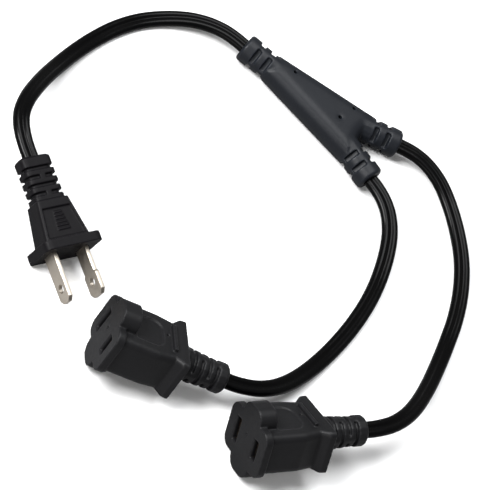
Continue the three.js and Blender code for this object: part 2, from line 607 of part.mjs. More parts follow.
function neckGrooves() {
  const starts = [NECK_CAP.length, NECK_CAP.length + NECK_GROOVE.width + NECK_RING];
  return starts.map((start) => groove(start, NECK_GROOVE.width, (x0, x1) => rod(NECK_CAP.radius + 1.5, x0, x1),
    (x0, x1) => rod(NECK_RADIUS - NECK_GROOVE.depth, x0, x1),
    (x0, x1) => [45, 135].map((turn) => block(x0, x1, 4 * NECK_RADIUS, NECK_GROOVE.bridge).rotate([turn, 0, 0]))));
}

const neckBore = () => prism(twinOutline(FIT), -OVERCUT, NECK_JACKET + FIT, { segments: 5 });

function splitterSlab() {
  const rootX = SPLITTER_LENGTH - BRANCH_NECK * Math.cos(BRANCH_ANGLE);
  const rootY = branchEnd.y - BRANCH_NECK * Math.sin(BRANCH_ANGLE);
  const outerX = rootX + NECK_RADIUS * Math.sin(BRANCH_ANGLE) * 0.5;
  const outerY = rootY + NECK_RADIUS;
  const inset = SPLITTER_EDGE;
  const shape = new THREE.Shape();
  shape.moveTo(SINGLE_NECK + inset, -SPLITTER_ROOT_HALF + inset);
  shape.lineTo(outerX - inset, -outerY + inset);
  shape.lineTo(CROTCH_X - inset, 0);
  shape.lineTo(outerX - inset, outerY - inset);
  shape.lineTo(SINGLE_NECK + inset, SPLITTER_ROOT_HALF - inset);
  const geometry = new THREE.ExtrudeGeometry(shape, {
    depth: SPLITTER_THICKNESS - 2 * inset, bevelEnabled: true, bevelSize: inset, bevelThickness: inset,
    bevelSegments: 3,
  });
  return toSolid(geometry.translate(0, 0, inset - SPLITTER_THICKNESS / 2));
}

const sleeveEnd = SLEEVE.start + SLEEVE.length;

// Tails inside the Y-moulding. The supply's two run straight to their sleeves.
function supplySplitterTail(side) {
  return vectors([
    [NECK_JACKET + 1, side * CORE_OFFSET, 0],
    [NECK_JACKET + 4, side * (CORE_OFFSET + 0.3), 0],
    [SLEEVE.start - 3.4, side * (SLEEVE.y - 0.5), 0],
    [SLEEVE.start - FIT, side * SLEEVE.y, 0],
    [SLEEVE.start + 3, side * SLEEVE.y, 0],
  ]);
}

// A branch conductor runs from its sleeve to its branch; the two inner ones cross, one over the other.
function branchSplitterTail(branch, sleeve) {
  const near = [
    [SLEEVE.start + 5, sleeve * SLEEVE.y, -branch * SLEEVE_CORE_LIFT],
    [sleeveEnd + FIT, sleeve * SLEEVE.y, -branch * SLEEVE_CORE_LIFT],
    [sleeveEnd + 4, sleeve * (SLEEVE.y + (branch === sleeve ? 0.4 : -0.1)), -branch * (SLEEVE_CORE_LIFT + 0.1)],
  ];
  const middle = branch === sleeve
    ? [[sleeveEnd + 11, sleeve * 5.4, -branch * 0.6]]
    : [[sleeveEnd + 8, sleeve * 1.4, -branch * CROSSING_LIFT], [sleeveEnd + 12, -sleeve * 1.4, -branch * CROSSING_LIFT]];
  const along = new THREE.Vector3(NECK_JACKET + 1, branch === sleeve ? -branch * CORE_OFFSET : branch * CORE_OFFSET, 0);
  const last = along.applyMatrix4(branchMatrix(branch));
  return [...vectors([...near, ...middle]), last];
}

function splitterOvermould() {
  const necks = [neckSolid(SINGLE_NECK + SPLITTER_EDGE), inBranch(1, neckSolid(BRANCH_NECK + 10)),
    inBranch(-1, neckSolid(BRANCH_NECK + 10))];
  const outer = union([splitterSlab(), ...necks]);
  const grooves = [...neckGrooves(), ...[-1, 1].flatMap((side) => neckGrooves().map((cut) => inBranch(side, cut)))];
  const bores = [neckBore(), inBranch(1, neckBore()), inBranch(-1, neckBore())];
  const top = SPLITTER_THICKNESS / 2;
  const pins = SPLITTER_PINS.map(([x, y]) => post(SPLITTER_PIN.radius, x, y, top - SPLITTER_PIN.depth,
    top + OVERCUT));
  const sleeves = [-1, 1].map((side) => rod(SLEEVE.radius + FIT, SLEEVE.start - FIT, sleeveEnd + FIT, 14)
    .translate([0, side * SLEEVE.y, 0]));
  const bore = CORE_RADIUS + FIT;
  const lead = new THREE.Vector3(-1 - OVERCUT, 0, 0);
  const supplyBores = [-1, 1].map((side) => {
    const tail = supplySplitterTail(side);
    return wire([tail[0].clone().add(lead), ...tail], bore);
  });
  const branchBores = [-1, 1].flatMap((branch) => [-1, 1].map((sleeve) => {
    const tail = branchSplitterTail(branch, sleeve);
    const outward = new THREE.Vector3(1 + OVERCUT, 0, 0)
      .applyAxisAngle(new THREE.Vector3(0, 0, 1), branch * BRANCH_ANGLE);
    return wire([...tail, tail.at(-1).clone().add(outward)], bore);
  }));
  return without(outer, [...grooves, ...bores, ...pins, ...sleeves, ...supplyBores, ...branchBores]);
}

function spliceSleeve(side) {
  const tube = rod(SLEEVE.radius, SLEEVE.start, sleeveEnd, 14);
  return tube.subtract(rod(SLEEVE.bore, SLEEVE.start - OVERCUT, sleeveEnd + OVERCUT, 14))
    .translate([0, side * SLEEVE.y, 0]);
}

// Assembly
function named(name, solid, material) {
  const mesh = new THREE.Mesh(toGeometry(solid), material);
  mesh.name = name;
  return mesh;
}

// A moulding with its inner pieces, turned as it lies and set down so that its lowest edge meets the floor.
function lieOnFloor(place, meshes) {
  const group = new THREE.Group();
  group.add(...meshes);
  group.rotation.set(place.roll, place.pitch, place.heading, 'ZYX');
  group.position.set(place.x, place.y, 0);
  group.updateMatrixWorld(true);
  const box = new THREE.Box3().setFromObject(group, true);
  group.position.z = -box.min.z;
  group.updateMatrixWorld(true);
  return group;
}

const plug = lieOnFloor(PLUG_PLACE, [
  named('plug_overmould', plugOvermould(), MATERIALS.moulding()),
  named('plug_blade_carrier', plugCarrier(), MATERIALS.carrier()),
  named('plug_blade_narrow', plugBlade(1, BLADE_WIDTH), MATERIALS.blade()),
  named('plug_blade_wide', plugBlade(-1, WIDE_BLADE_WIDTH), MATERIALS.blade()),
]);

const socket = (letter, place) => lieOnFloor(place, [
  named(`socket_${letter}_overmould`, socketOvermould(-THREE.MathUtils.radToDeg(place.roll)), MATERIALS.moulding()),
  named(`socket_${letter}_contact_carrier`, socketCarrier(), MATERIALS.carrier()),
  named(`socket_${letter}_contact_wide`, socketContact(1, WIDE_CONTACT_WIDTH), MATERIALS.contact()),
  named(`socket_${letter}_contact_narrow`, socketContact(-1, NARROW_CONTACT_WIDTH), MATERIALS.contact()),
]);
const socketA = socket('a', SOCKET_A_PLACE);
const socketB = socket('b', SOCKET_B_PLACE);

const splitter = lieOnFloor(SPLITTER_PLACE, [
  named('splitter_overmould', splitterOvermould(), MATERIALS.splitter()),
  named('splice_crimp_line', spliceSleeve(1), MATERIALS.sleeve()),
  named('splice_crimp_neutral', spliceSleeve(-1), MATERIALS.sleeve()),
]);

// The two places in a moulding that a jacket passes: its inner end, and where it leaves.
const axisPoints = (group, inner, exit, matrix = new THREE.Matrix4()) => [inner, exit, exit + Math.sign(exit - inner)
  * STRAIGHT_EXIT].map((x) => group.localToWorld(new THREE.Vector3(x, 0, 0).applyMatrix4(matrix)));

const worldPoints = (group, points) => points.map((point) => group.localToWorld(point.clone()));

// Jacket stations: straight out of both mouldings, and along a smooth curve between.
function cordStations(from, route, to) {
  const curve = new THREE.CatmullRomCurve3([...from.slice(1), ...vectors(route), ...to.slice(1).toReversed()],
    false, 'centripetal');
  const steps = Math.round(curve.getLength() / CORD_STEP);
  return [from[0], ...curve.getSpacedPoints(steps), to[0]];
}

function cordMeshes(name, stations, tails) {
  const path = new LevelPath(stations);
  const jacket = sweep(stations, jacketOutline(), 5);
  const cores = tails.map(({ wireName, side, start, end }) => named(`${name}_${wireName}_wire`,
    wire([...start, ...path.offset(side * CORE_OFFSET), ...end]), MATERIALS.copper()));
  return [named(`${name}_cord`, jacket, MATERIALS.jacket()), ...cores];
}

const supplyStations = cordStations(axisPoints(splitter, NECK_JACKET, 0), SUPPLY_ROUTE,
  axisPoints(plug, PLUG_JACKET_END, PLUG_RELIEF.end));
const supply = cordMeshes('supply', supplyStations, [['line', 1], ['neutral', -1]].map(([wireName, y]) => ({
  wireName,
  side: -y,
  start: worldPoints(splitter, supplySplitterTail(y)).toReversed(),
  end: worldPoints(plug, plugTail(y)).toReversed(),
})));

function branchCord(letter, branch, socketGroup, route) {
  const matrix = branchMatrix(branch);
  const from = axisPoints(splitter, NECK_JACKET, 0, matrix);
  const stations = cordStations(from, route, axisPoints(socketGroup, SOCKET_JACKET_END, SOCKET_RELIEF.end));
  return cordMeshes(`branch_${letter}`, stations, [['line', 1], ['neutral', -1]].map(([wireName, sleeve]) => ({
    wireName,
    side: sleeve,
    start: worldPoints(splitter, branchSplitterTail(branch, sleeve)),
    end: worldPoints(socketGroup, socketTail(-sleeve)).toReversed(),
  })));
}

const product = new THREE.Group();
product.add(plug, socketA, socketB, splitter, ...supply, ...branchCord('a', -1, socketA, BRANCH_A_ROUTE),
  ...branchCord('b', 1, socketB, BRANCH_B_ROUTE));
product.position.set(-FOOTPRINT_CENTRE.x, -FOOTPRINT_CENTRE.y, 0);

export default product;
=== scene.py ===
"""Looks of a flat-cord power splitter: a plug, a Y-shaped moulding and two sockets, on a pale floor."""

import logging
import math
from dataclasses import dataclass
from enum import Enum
from typing import Any, Iterable, Optional, Sequence

import bpy
import numpy as np
from mathutils import Matrix, Vector


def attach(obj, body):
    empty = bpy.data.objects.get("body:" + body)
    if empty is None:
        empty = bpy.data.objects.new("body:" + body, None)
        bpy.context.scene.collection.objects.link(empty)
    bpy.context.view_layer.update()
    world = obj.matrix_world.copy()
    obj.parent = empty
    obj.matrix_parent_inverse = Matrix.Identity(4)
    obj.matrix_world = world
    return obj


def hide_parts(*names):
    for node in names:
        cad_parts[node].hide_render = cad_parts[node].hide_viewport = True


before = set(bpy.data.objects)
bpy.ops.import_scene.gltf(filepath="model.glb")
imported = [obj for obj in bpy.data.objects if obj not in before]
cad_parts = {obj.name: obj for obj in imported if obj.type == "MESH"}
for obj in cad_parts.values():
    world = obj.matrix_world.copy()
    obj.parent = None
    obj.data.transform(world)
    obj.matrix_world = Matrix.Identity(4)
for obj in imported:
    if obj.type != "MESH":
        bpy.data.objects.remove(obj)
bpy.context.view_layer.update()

BODY = "root"
# The height in millimetres at which a moulded edge counts as fully worn
EDGE_REACH = 0.03
MM = 0.001

logging.basicConfig(level=logging.INFO, format="%(message)s")
log = logging.getLogger("scene")

Colour = tuple[float, float, float]
Point = tuple[float, float, float]


class Slot(Enum):
    """The record's material slots."""

    MOULDING = "moulding"
    SPLITTER = "splitter"
    JACKET = "jacket"
    CARRIER = "carrier"
    BLADE = "blade"
    CONTACT = "contact"
    SLEEVE = "sleeve"
    COPPER = "copper"


# Shader building


class Value:
    """A shader socket that can be used in arithmetic."""

    def __init__(self, graph: "MaterialGraph", socket: bpy.types.NodeSocket) -> None:
        """Wraps one output socket of a graph."""
        self.graph = graph
        self.socket = socket

    def _math(self, operation: str, first: Any, second: Any = None) -> "Value":
        """Adds a Math node.

        Args:
            operation: the Math node's operation.
            first: the first value or socket.
            second: the second value or socket, where there is one.

        Returns:
            The node's result.
        """
        inputs = {0: first} if second is None else {0: first, 1: second}
        return self.graph.add("ShaderNodeMath", {"operation": operation}, inputs)[0]

    def __add__(self, other: Any) -> "Value":
        """Sum of two values."""
        return self._math("ADD", self, other)

    __radd__ = __add__

    def __mul__(self, other: Any) -> "Value":
        """Product of two values."""
        return self._math("MULTIPLY", self, other)

    __rmul__ = __mul__

    def __sub__(self, other: Any) -> "Value":
        """Difference of two values."""
        return self._math("SUBTRACT", self, other)

    def __rsub__(self, other: Any) -> "Value":
        """Reflected difference, so that 1 - mask works."""
        return self._math("SUBTRACT", other, self)

    def clamped(self) -> "Value":
        """The value held between nought and one."""
        node = self.graph.add("ShaderNodeClamp", {}, {0: self, 1: 0.0, 2: 1.0})
        return node[0]

    def ramp(self, low: float, high: float) -> "Value":
        """A smooth step from nought at low to one at high.

        Args:
            low: the value that gives nought.
            high: the value that gives one.

        Returns:
            The stepped value.
        """
        settings = {"interpolation_type": "SMOOTHSTEP"}
        return self.graph.add("ShaderNodeMapRange", settings, {0: self, 1: low, 2: high, 3: 0.0, 4: 1.0})[0]


class Outputs:
    """The output sockets of one node, as values."""

    def __init__(self, graph: "MaterialGraph", node: bpy.types.Node) -> None:
        """Keeps the node and its graph."""
        self.graph = graph
        self.node = node

    def __getitem__(self, key: int | str) -> Value:
        """One output, by its place or its name."""
        return Value(self.graph, self.node.outputs[key])


class MaterialGraph:
    """A node material under construction."""

    def __init__(self, name: str) -> None:
        """Makes an empty node material with one output."""
        self.material = bpy.data.materials.new(name)
        self.material.use_nodes = True
        self.tree = self.material.node_tree
        self.tree.nodes.clear()
        self.output = self.tree.nodes.new("ShaderNodeOutputMaterial")

    def add(self, kind: str, settings: dict[str, Any], inputs: dict[int | str, Any]) -> Outputs:
        """Adds any node.

        Args:
            kind: the node's type.
            settings: its properties, set first.
            inputs: values or links of its sockets, by place or name.

        Returns:
            The node's outputs.
        """
        node = self.tree.nodes.new(kind)
        for name, value in settings.items():
            setattr(node, name, value)
        for key, value in inputs.items():
            if isinstance(value, Value):
                self.tree.links.new(value.socket, node.inputs[key])
            else:
                node.inputs[key].default_value = value
        return Outputs(self, node)

    def object_coordinates(self) -> Value:
        """The Object coordinates."""
        return self.add("ShaderNodeTexCoord", {}, {})["Object"]

    def attribute(self, name: str) -> Outputs:
        """A mesh attribute's outputs."""
        return self.add("ShaderNodeAttribute", {"attribute_name": name}, {})

    def noise(self, vector: Value, scale: float, detail: float = 2.0, rough: float = 0.5) -> Value:
        """A noise value.

        Args:
            vector: the coordinates.
            scale: cells per metre.
            detail: octaves.
            rough: weight of the finer octaves.

        Returns:
            The noise, near one half on average.
        """
        inputs = {"Vector": vector, "Scale": scale, "Detail": detail, "Roughness": rough}
        return self.add("ShaderNodeTexNoise", {}, inputs)["Fac"]

    def mix(self, factor: Value | float, first: Any, second: Any) -> Value:
        """A colour between two.

        Args:
            factor: how much of the second.
            first: a colour or a colour value.
            second: a colour or a colour value.

        Returns:
            The mixed colour.
        """
        first = first if isinstance(first, Value) else (*first, 1.0)
        second = second if isinstance(second, Value) else (*second, 1.0)
        node = self.add("ShaderNodeMix", {"data_type": "RGBA"}, {0: factor, 6: first, 7: second})
        return node[2]

    def bump(self, height: Value, distance: float, strength: float, normal: Optional[Value] = None) -> Value:
        """A bumped normal.

        Args:
            height: the height value.
            distance: height in metres of one unit.
            strength: how much of it shows.
            normal: a normal to start from.

        Returns:
            The normal.
        """
        inputs: dict[int | str, Any] = {"Height": height, "Distance": distance, "Strength": strength}
        if normal is not None:
            inputs["Normal"] = normal
        return self.add("ShaderNodeBump", {}, inputs)["Normal"]

    def finish(self, inputs: dict[int | str, Any]) -> bpy.types.Material:
        """Closes the material with a Principled shader.

        Args:
            inputs: the shader's sockets.

        Returns:
            The material.
        """
        shader = self.add("ShaderNodeBsdfPrincipled", {}, inputs)
        self.tree.links.new(shader["BSDF"].socket, self.output.inputs["Surface"])
        return self.material


@dataclass(frozen=True)
class MouldedVinyl:
    """Flexible vinyl from a mould: satin, finely grained, paler and smoother where edges are handled."""

    name: str
    colour: Colour
    pale: Colour
    roughness: float
    grain: float = 5200.0
    sheen: float = 0.32

    def build(self) -> bpy.types.Material:
        """Returns the finish's material."""
        graph = MaterialGraph(self.name)
        place = graph.object_coordinates()
        wear = graph.attribute("edge")["Fac"]
        cloud = graph.noise(place, 90.0, 3.0)
        grain = graph.noise(place, self.grain, 2.0, 0.6)
        swirl = graph.noise(place, 700.0, 4.0, 0.65)
        rubbed = (wear.ramp(0.08, 0.55) * swirl.ramp(0.3, 0.65)).clamped()
        tone = graph.mix(cloud.ramp(0.3, 0.7) * 0.35, self.colour, self.pale)
        tone = graph.mix(rubbed * 0.55, tone, tuple(1.7 * part for part in self.pale))
        rough = (self.roughness + (swirl - 0.5) * 0.16 - rubbed * 0.1).clamped()
        normal = graph.bump(swirl, 0.00006, 0.5)
        normal = graph.bump(grain, 0.00003, 0.6, normal)
        inputs = {"Base Color": tone, "Roughness": rough, "Normal": normal, "Specular IOR Level": self.sheen}
        return graph.finish(inputs)


@dataclass(frozen=True)
class ExtrudedJacket:
    """Glossy flat-cord jacket with faint draw lines along it."""

    name: str
    colour: Colour
    roughness: float

    def build(self) -> bpy.types.Material:
        """Returns the finish's material."""
        graph = MaterialGraph(self.name)
        place = graph.object_coordinates()
        along = graph.attribute("along")["Fac"]
        around = graph.attribute("around")["Fac"]
        lines = graph.add("ShaderNodeCombineXYZ", {}, {0: along * 25.0, 1: around * 14000.0, 2: 0.0})[0]
        drawn = graph.noise(lines, 0.5, 2.0)
        ripple = graph.noise(place, 260.0, 2.0)
        dust = graph.noise(place, 3200.0, 3.0, 0.7)
        tone = graph.mix(dust.ramp(0.62, 0.8) * 0.3, self.colour, (0.008, 0.008, 0.0085))
        rough = (self.roughness + (drawn - 0.5) * 0.12 + dust.ramp(0.6, 0.8) * 0.12).clamped()
        normal = graph.bump(drawn, 0.00002, 0.15)
        normal = graph.bump(ripple, 0.00012, 0.4, normal)
        inputs = {"Base Color": tone, "Roughness": rough, "Normal": normal, "Specular IOR Level": 0.1}
        return graph.finish(inputs)


@dataclass(frozen=True)
class PlatedStrip:
    """Stamped metal strip with brushed lines and dull handling marks."""

    name: str
    colour: Colour
    stain: Colour
    roughness: float

    def build(self) -> bpy.types.Material:
        """Returns the finish's material."""
        graph = MaterialGraph(self.name)
        place = graph.object_coordinates()
        wear = graph.attribute("edge")["Fac"]
        local = graph.attribute("part")["Vector"]
        cells = (120.0, 9000.0, 9000.0)
        stretch = graph.add("ShaderNodeVectorMath", {"operation": "MULTIPLY"}, {0: local, 1: cells})[0]
        brushed = graph.noise(stretch, 1.0, 3.0)
        smear = graph.noise(place, 340.0, 4.0, 0.6)
        tone = graph.mix(smear.ramp(0.42, 0.72) * 0.6, self.colour, self.stain)
        bright = tuple(min(1.0, 1.25 * part) for part in self.colour)
        tone = graph.mix(wear.ramp(0.1, 0.6) * 0.6, tone, bright)
        rough = (self.roughness + (brushed - 0.5) * 0.22 + smear.ramp(0.45, 0.75) * 0.14).clamped()
        normal = graph.bump(brushed, 0.00002, 0.3)
        return graph.finish({"Base Color": tone, "Roughness": rough, "Metallic": 1.0, "Normal": normal})


@dataclass(frozen=True)
class StrandedWire:
    """Fine copper strands twisted together."""

    name: str
    colour: Colour

    def build(self) -> bpy.types.Material:
        """Returns the finish's material."""
        graph = MaterialGraph(self.name)
        place = graph.object_coordinates()
        strands = graph.add("ShaderNodeTexWave", {"wave_type": "BANDS", "bands_direction": "DIAGONAL"},
                            {"Vector": place, "Scale": 900.0, "Distortion": 1.5})["Fac"]
        patina = graph.noise(place, 800.0, 3.0)
        tone = graph.mix(patina.ramp(0.4, 0.7) * 0.5, self.colour, (0.36, 0.14, 0.06))
        normal = graph.bump(strands, 0.00008, 0.7)
        return graph.finish({"Base Color": tone, "Roughness": 0.32, "Metallic": 1.0, "Normal": normal})


@dataclass(frozen=True)
class StudioFloor:
    """Near-white matt sweep, dimmer to the rays that light the object."""

    name: str
    colour: Colour
    cast: Colour

    def build(self) -> bpy.types.Material:
        """Returns the finish's material."""
        graph = MaterialGraph(self.name)
        paper = graph.noise(graph.object_coordinates(), 900.0, 3.0)
        tone = graph.mix(paper * 0.04, self.colour, (0.86, 0.86, 0.86))
        graph.finish({"Base Color": tone, "Roughness": 0.9, "Specular IOR Level": 0.1})
        dim = graph.add("ShaderNodeBsdfDiffuse", {}, {"Color": (*self.cast, 1.0)})
        seen = graph.add("ShaderNodeLightPath", {}, {})["Is Camera Ray"]
        white = graph.output.inputs["Surface"].links[0].from_socket
        mixed = graph.add("ShaderNodeMixShader", {}, {0: seen, 1: dim[0], 2: Value(graph, white)})
        graph.tree.links.new(mixed[0].socket, graph.output.inputs["Surface"])
        return graph.material


class Finishes:
    """Every material of the scene, made once."""

    def __init__(self) -> None:
        """Builds the materials."""
        self.plug = MouldedVinyl("plug_vinyl", (0.0024, 0.0021, 0.0027), (0.0045, 0.004, 0.005), 0.5,
                                 sheen=0.1).build()
        self.socket = MouldedVinyl("socket_vinyl", (0.005, 0.005, 0.0056), (0.008, 0.008, 0.0088), 0.46,
                                   sheen=0.16).build()
        self.splitter = MouldedVinyl("splitter_vinyl", (0.0055, 0.0066, 0.009), (0.0085, 0.0098, 0.0128),
                                     0.44, sheen=0.2).build()
        self.jacket = ExtrudedJacket("cord_jacket_vinyl", (0.0006, 0.0006, 0.0007), 0.24).build()
        self.carrier = MouldedVinyl("carrier_polymer", (0.055, 0.058, 0.065), (0.08, 0.083, 0.09),
                                    0.6).build()
        self.nickel = PlatedStrip("blade_nickel", (0.50, 0.455, 0.39), (0.38, 0.34, 0.285), 0.42).build()
        self.brass = PlatedStrip("contact_brass", (0.68, 0.46, 0.18), (0.42, 0.26, 0.1), 0.34).build()
        self.tin = PlatedStrip("sleeve_tin", (0.62, 0.62, 0.64), (0.45, 0.45, 0.46), 0.38).build()
        self.copper = StrandedWire("wire_copper", (0.80, 0.36, 0.19)).build()
        self.floor = StudioFloor("floor_paper", (0.9, 0.9, 0.9), (0.3, 0.3, 0.305)).build()


# Mesh work


@dataclass(frozen=True)
class Placement:
    """Where a moulding's own frame lies: millimetres and degrees, by roll, then pitch, then heading."""

    x: float
    y: float
    z: float
    heading: float
    pitch: float = 0.0
    roll: float = 0.0

    def matrix(self) -> Matrix:
        """The matrix from the moulding's frame, in metres, to the world."""
        heading = Matrix.Rotation(math.radians(self.heading), 4, "Z")
        pitch = Matrix.Rotation(math.radians(self.pitch), 4, "Y")
        roll = Matrix.Rotation(math.radians(self.roll), 4, "X")
        turn = heading @ pitch @ roll
        return Matrix.Translation(Vector((self.x, self.y, self.z)) * MM) @ turn

    def point(self, x: float, y: float, z: float) -> Vector:
        """A point of the moulding, given in millimetres, in the world."""
        return self.matrix() @ (Vector((x, y, z)) * MM)


def corners(mesh: bpy.types.Mesh) -> np.ndarray:
    """Every vertex's place, in metres."""
    place = np.empty(len(mesh.vertices) * 3, np.float32)
    mesh.vertices.foreach_get("co", place)
    return place.reshape(-1, 3)


class Workshop:
    """Modelling steps, each on one object."""

    # How far a relaxed stretch fades in at its ends, in millimetres, and in how many levels
    FADE = 2.5
    LEVELS = 8
    MARK_SIDES = 24

    @staticmethod
    def only(piece: bpy.types.Object) -> None:
        """Selects one object and makes it active."""
        bpy.ops.object.select_all(action="DESELECT")
        piece.select_set(True)
        bpy.context.view_layer.objects.active = piece

    @staticmethod
    def cube() -> bpy.types.Object:
        """A new cube of one metre at the origin."""
        bpy.ops.object.select_all(action="DESELECT")
        bpy.ops.mesh.primitive_cube_add(size=1.0)
        return bpy.context.object

    @staticmethod
    def cylinder(sides: int, radius: float, length: float) -> bpy.types.Object:
        """A new upright cylinder at the origin, its sizes in millimetres."""
        bpy.ops.object.select_all(action="DESELECT")
        bpy.ops.mesh.primitive_cylinder_add(vertices=sides, radius=radius * MM, depth=length * MM)
        return bpy.context.object

    @classmethod
    def apply(cls, piece: bpy.types.Object, kind: str, **settings: Any) -> bpy.types.Object:
        """Adds a modifier and applies it.

        Args:
            piece: the object.
            kind: the modifier's type.
            **settings: the modifier's properties.

        Returns:
            The object.
        """
        cls.only(piece)
        modifier = piece.modifiers.new(kind.lower(), kind)
        for name, value in settings.items():
            setattr(modifier, name, value)
        bpy.ops.object.modifier_apply(modifier=modifier.name)
        return piece

    @classmethod
    def copy_node(cls, node: str, name: str) -> bpy.types.Object:
        """A new object with a CAD node's solid, its doubled corners merged.

        Args:
            node: the CAD node.
            name: the new object's name.

        Returns:
            The new object.
        """
        piece = bpy.data.objects.new(name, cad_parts[node].data.copy())
        bpy.context.scene.collection.objects.link(piece)
        piece.data.materials.clear()
        cls.only(piece)
        bpy.ops.object.mode_set(mode="EDIT")
        bpy.ops.mesh.select_all(action="SELECT")
        bpy.ops.mesh.remove_doubles(threshold=0.00001)
        bpy.ops.mesh.normals_make_consistent(inside=False)
        bpy.ops.object.mode_set(mode="OBJECT")
        return piece

    @classmethod
    def funnel(cls, place: Placement, centre: Point, size: Point, spread: float) -> bpy.types.Object:
        """A box that widens towards the moulding's mating face, for a bevelled slot mouth.

        Args:
            place: the moulding's placement.
            centre: the box's middle, in millimetres.
            size: its sides at the narrow end, in millimetres.
            spread: how much each side grows at the wide end, in millimetres.

        Returns:
            The box, in the world.
        """
        piece = cls.cube()
        for vertex in piece.data.vertices:
            grow = spread if vertex.co.x < 0 else 0.0
            local = [centre[0] + vertex.co.x * size[0]]
            local += [centre[i] + 2 * vertex.co[i] * (size[i] / 2 + grow) for i in (1, 2)]
            vertex.co = Vector(local) * MM
        piece.data.transform(place.matrix())
        return piece

    @staticmethod
    def level_frames(line: np.ndarray) -> tuple[np.ndarray, np.ndarray]:
        """Sideways and upward directions at each point of a line.

        Args:
            line: the points.

        Returns:
            The sideways directions, all level, and the upward ones.
        """
        along = np.gradient(line, axis=0)
        along /= np.linalg.norm(along, axis=1)[:, None]
        side = np.cross(np.array([0.0, 0.0, 1.0]), along)
        side /= np.linalg.norm(side, axis=1)[:, None]
        return side, np.cross(along, side)

    @classmethod
    def sweep(cls, name: str, line: np.ndarray, outline: np.ndarray) -> bpy.types.Object:
        """A closed solid of one section along a line.

        Args:
            name: the new object's name.
            line: the points, in millimetres.
            outline: the section, sideways and upwards, in millimetres.

        Returns:
            The solid.
        """
        side, lift = cls.level_frames(line)
        rings = (line[:, None, :] + outline[None, :, 0, None] * side[:, None, :]
                 + outline[None, :, 1, None] * lift[:, None, :])
        rows, columns = rings.shape[:2]
        quads = [(i * columns + j, i * columns + (j + 1) % columns, (i + 1) * columns + (j + 1) % columns,
                  (i + 1) * columns + j) for i in range(rows - 1) for j in range(columns)]
        caps = [tuple(range(columns - 1, -1, -1)), tuple((rows - 1) * columns + j for j in range(columns))]
        mesh = bpy.data.meshes.new(name)
        mesh.from_pydata((rings.reshape(-1, 3) * MM).tolist(), [], quads + caps)
        piece = bpy.data.objects.new(name, mesh)
        bpy.context.scene.collection.objects.link(piece)
        cls.only(piece)
        bpy.ops.object.mode_set(mode="EDIT")
        bpy.ops.mesh.select_all(action="SELECT")
        bpy.ops.mesh.normals_make_consistent(inside=False)
        bpy.ops.object.mode_set(mode="OBJECT")
        bpy.ops.object.shade_smooth_by_angle(angle=math.radians(50))
        return piece

    @classmethod
    def relax(cls, piece: bpy.types.Object, place: Placement, low: float, high: float, passes: int) -> None:
        """Rounds a stretch of a moulding more than the rest.

        Args:
            piece: the object.
            place: the moulding's placement.
            low: where the stretch starts along the moulding, in millimetres.
            high: where it ends.
            passes: how often the surface is relaxed.
        """
        back = np.array(place.matrix().inverted())
        along = (corners(piece.data) @ back[0, :3] + back[0, 3]) / MM
        group = piece.vertex_groups.new(name="stretch")
        weights = np.clip(np.minimum(along - low, high - along) / cls.FADE, 0.0, 1.0)
        for level in range(1, cls.LEVELS + 1):
            chosen = np.flatnonzero(np.round(weights * cls.LEVELS) == level)
            group.add([int(i) for i in chosen], level / cls.LEVELS, "REPLACE")
        cls.apply(piece, "SMOOTH", factor=0.5, iterations=passes, vertex_group="stretch")
        piece.vertex_groups.clear()

    @classmethod
    def join(cls, pieces: Sequence[bpy.types.Object]) -> bpy.types.Object:
        """Joins several objects into the first."""
        bpy.ops.object.select_all(action="DESELECT")
        for piece in pieces:
            piece.select_set(True)
        bpy.context.view_layer.objects.active = pieces[0]
        bpy.ops.object.join()
        return bpy.context.object

    @classmethod
    def drill(cls, piece: bpy.types.Object, place: Placement, centre: Point, radius: float,
              depth: float) -> None:
        """Sinks a small round mark straight down into a remeshed moulding.

        Args:
            piece: the object.
            place: the moulding's placement.
            centre: the mark's middle on the surface, in millimetres.
            radius: its radius, in millimetres.
            depth: its depth, in millimetres.
        """
        tool = cls.cylinder(cls.MARK_SIDES, radius, 2 * depth)
        tool.data.transform(place.matrix() @ Matrix.Translation(Vector(centre) * MM))
        cls.cut(piece, tool, "MANIFOLD")

    @classmethod
    def cut(cls, piece: bpy.types.Object, tool: bpy.types.Object, solver: str = "EXACT") -> bpy.types.Object:
        """Cuts a tool's shape from an object and removes the tool.

        Args:
            piece: the object.
            tool: the other solid.
            solver: the Boolean modifier's solver.

        Returns:
            The object.
        """
        cls.apply(piece, "BOOLEAN", object=tool, operation="DIFFERENCE", solver=solver)
        bpy.data.objects.remove(tool)
        return piece

    @classmethod
    def soften(cls, piece: bpy.types.Object, voxel: float, passes: int) -> bpy.types.Object:
        """Remeshes a solid finely and rounds its edges as a mould does.

        Args:
            piece: the object.
            voxel: the mesh size, in millimetres.
            passes: how often the surface is relaxed.

        Returns:
            The object.
        """
        cls.apply(piece, "REMESH", mode="VOXEL", voxel_size=voxel * MM, use_smooth_shade=True)
        if passes:
            cls.apply(piece, "SMOOTH", factor=0.5, iterations=passes)
        return piece


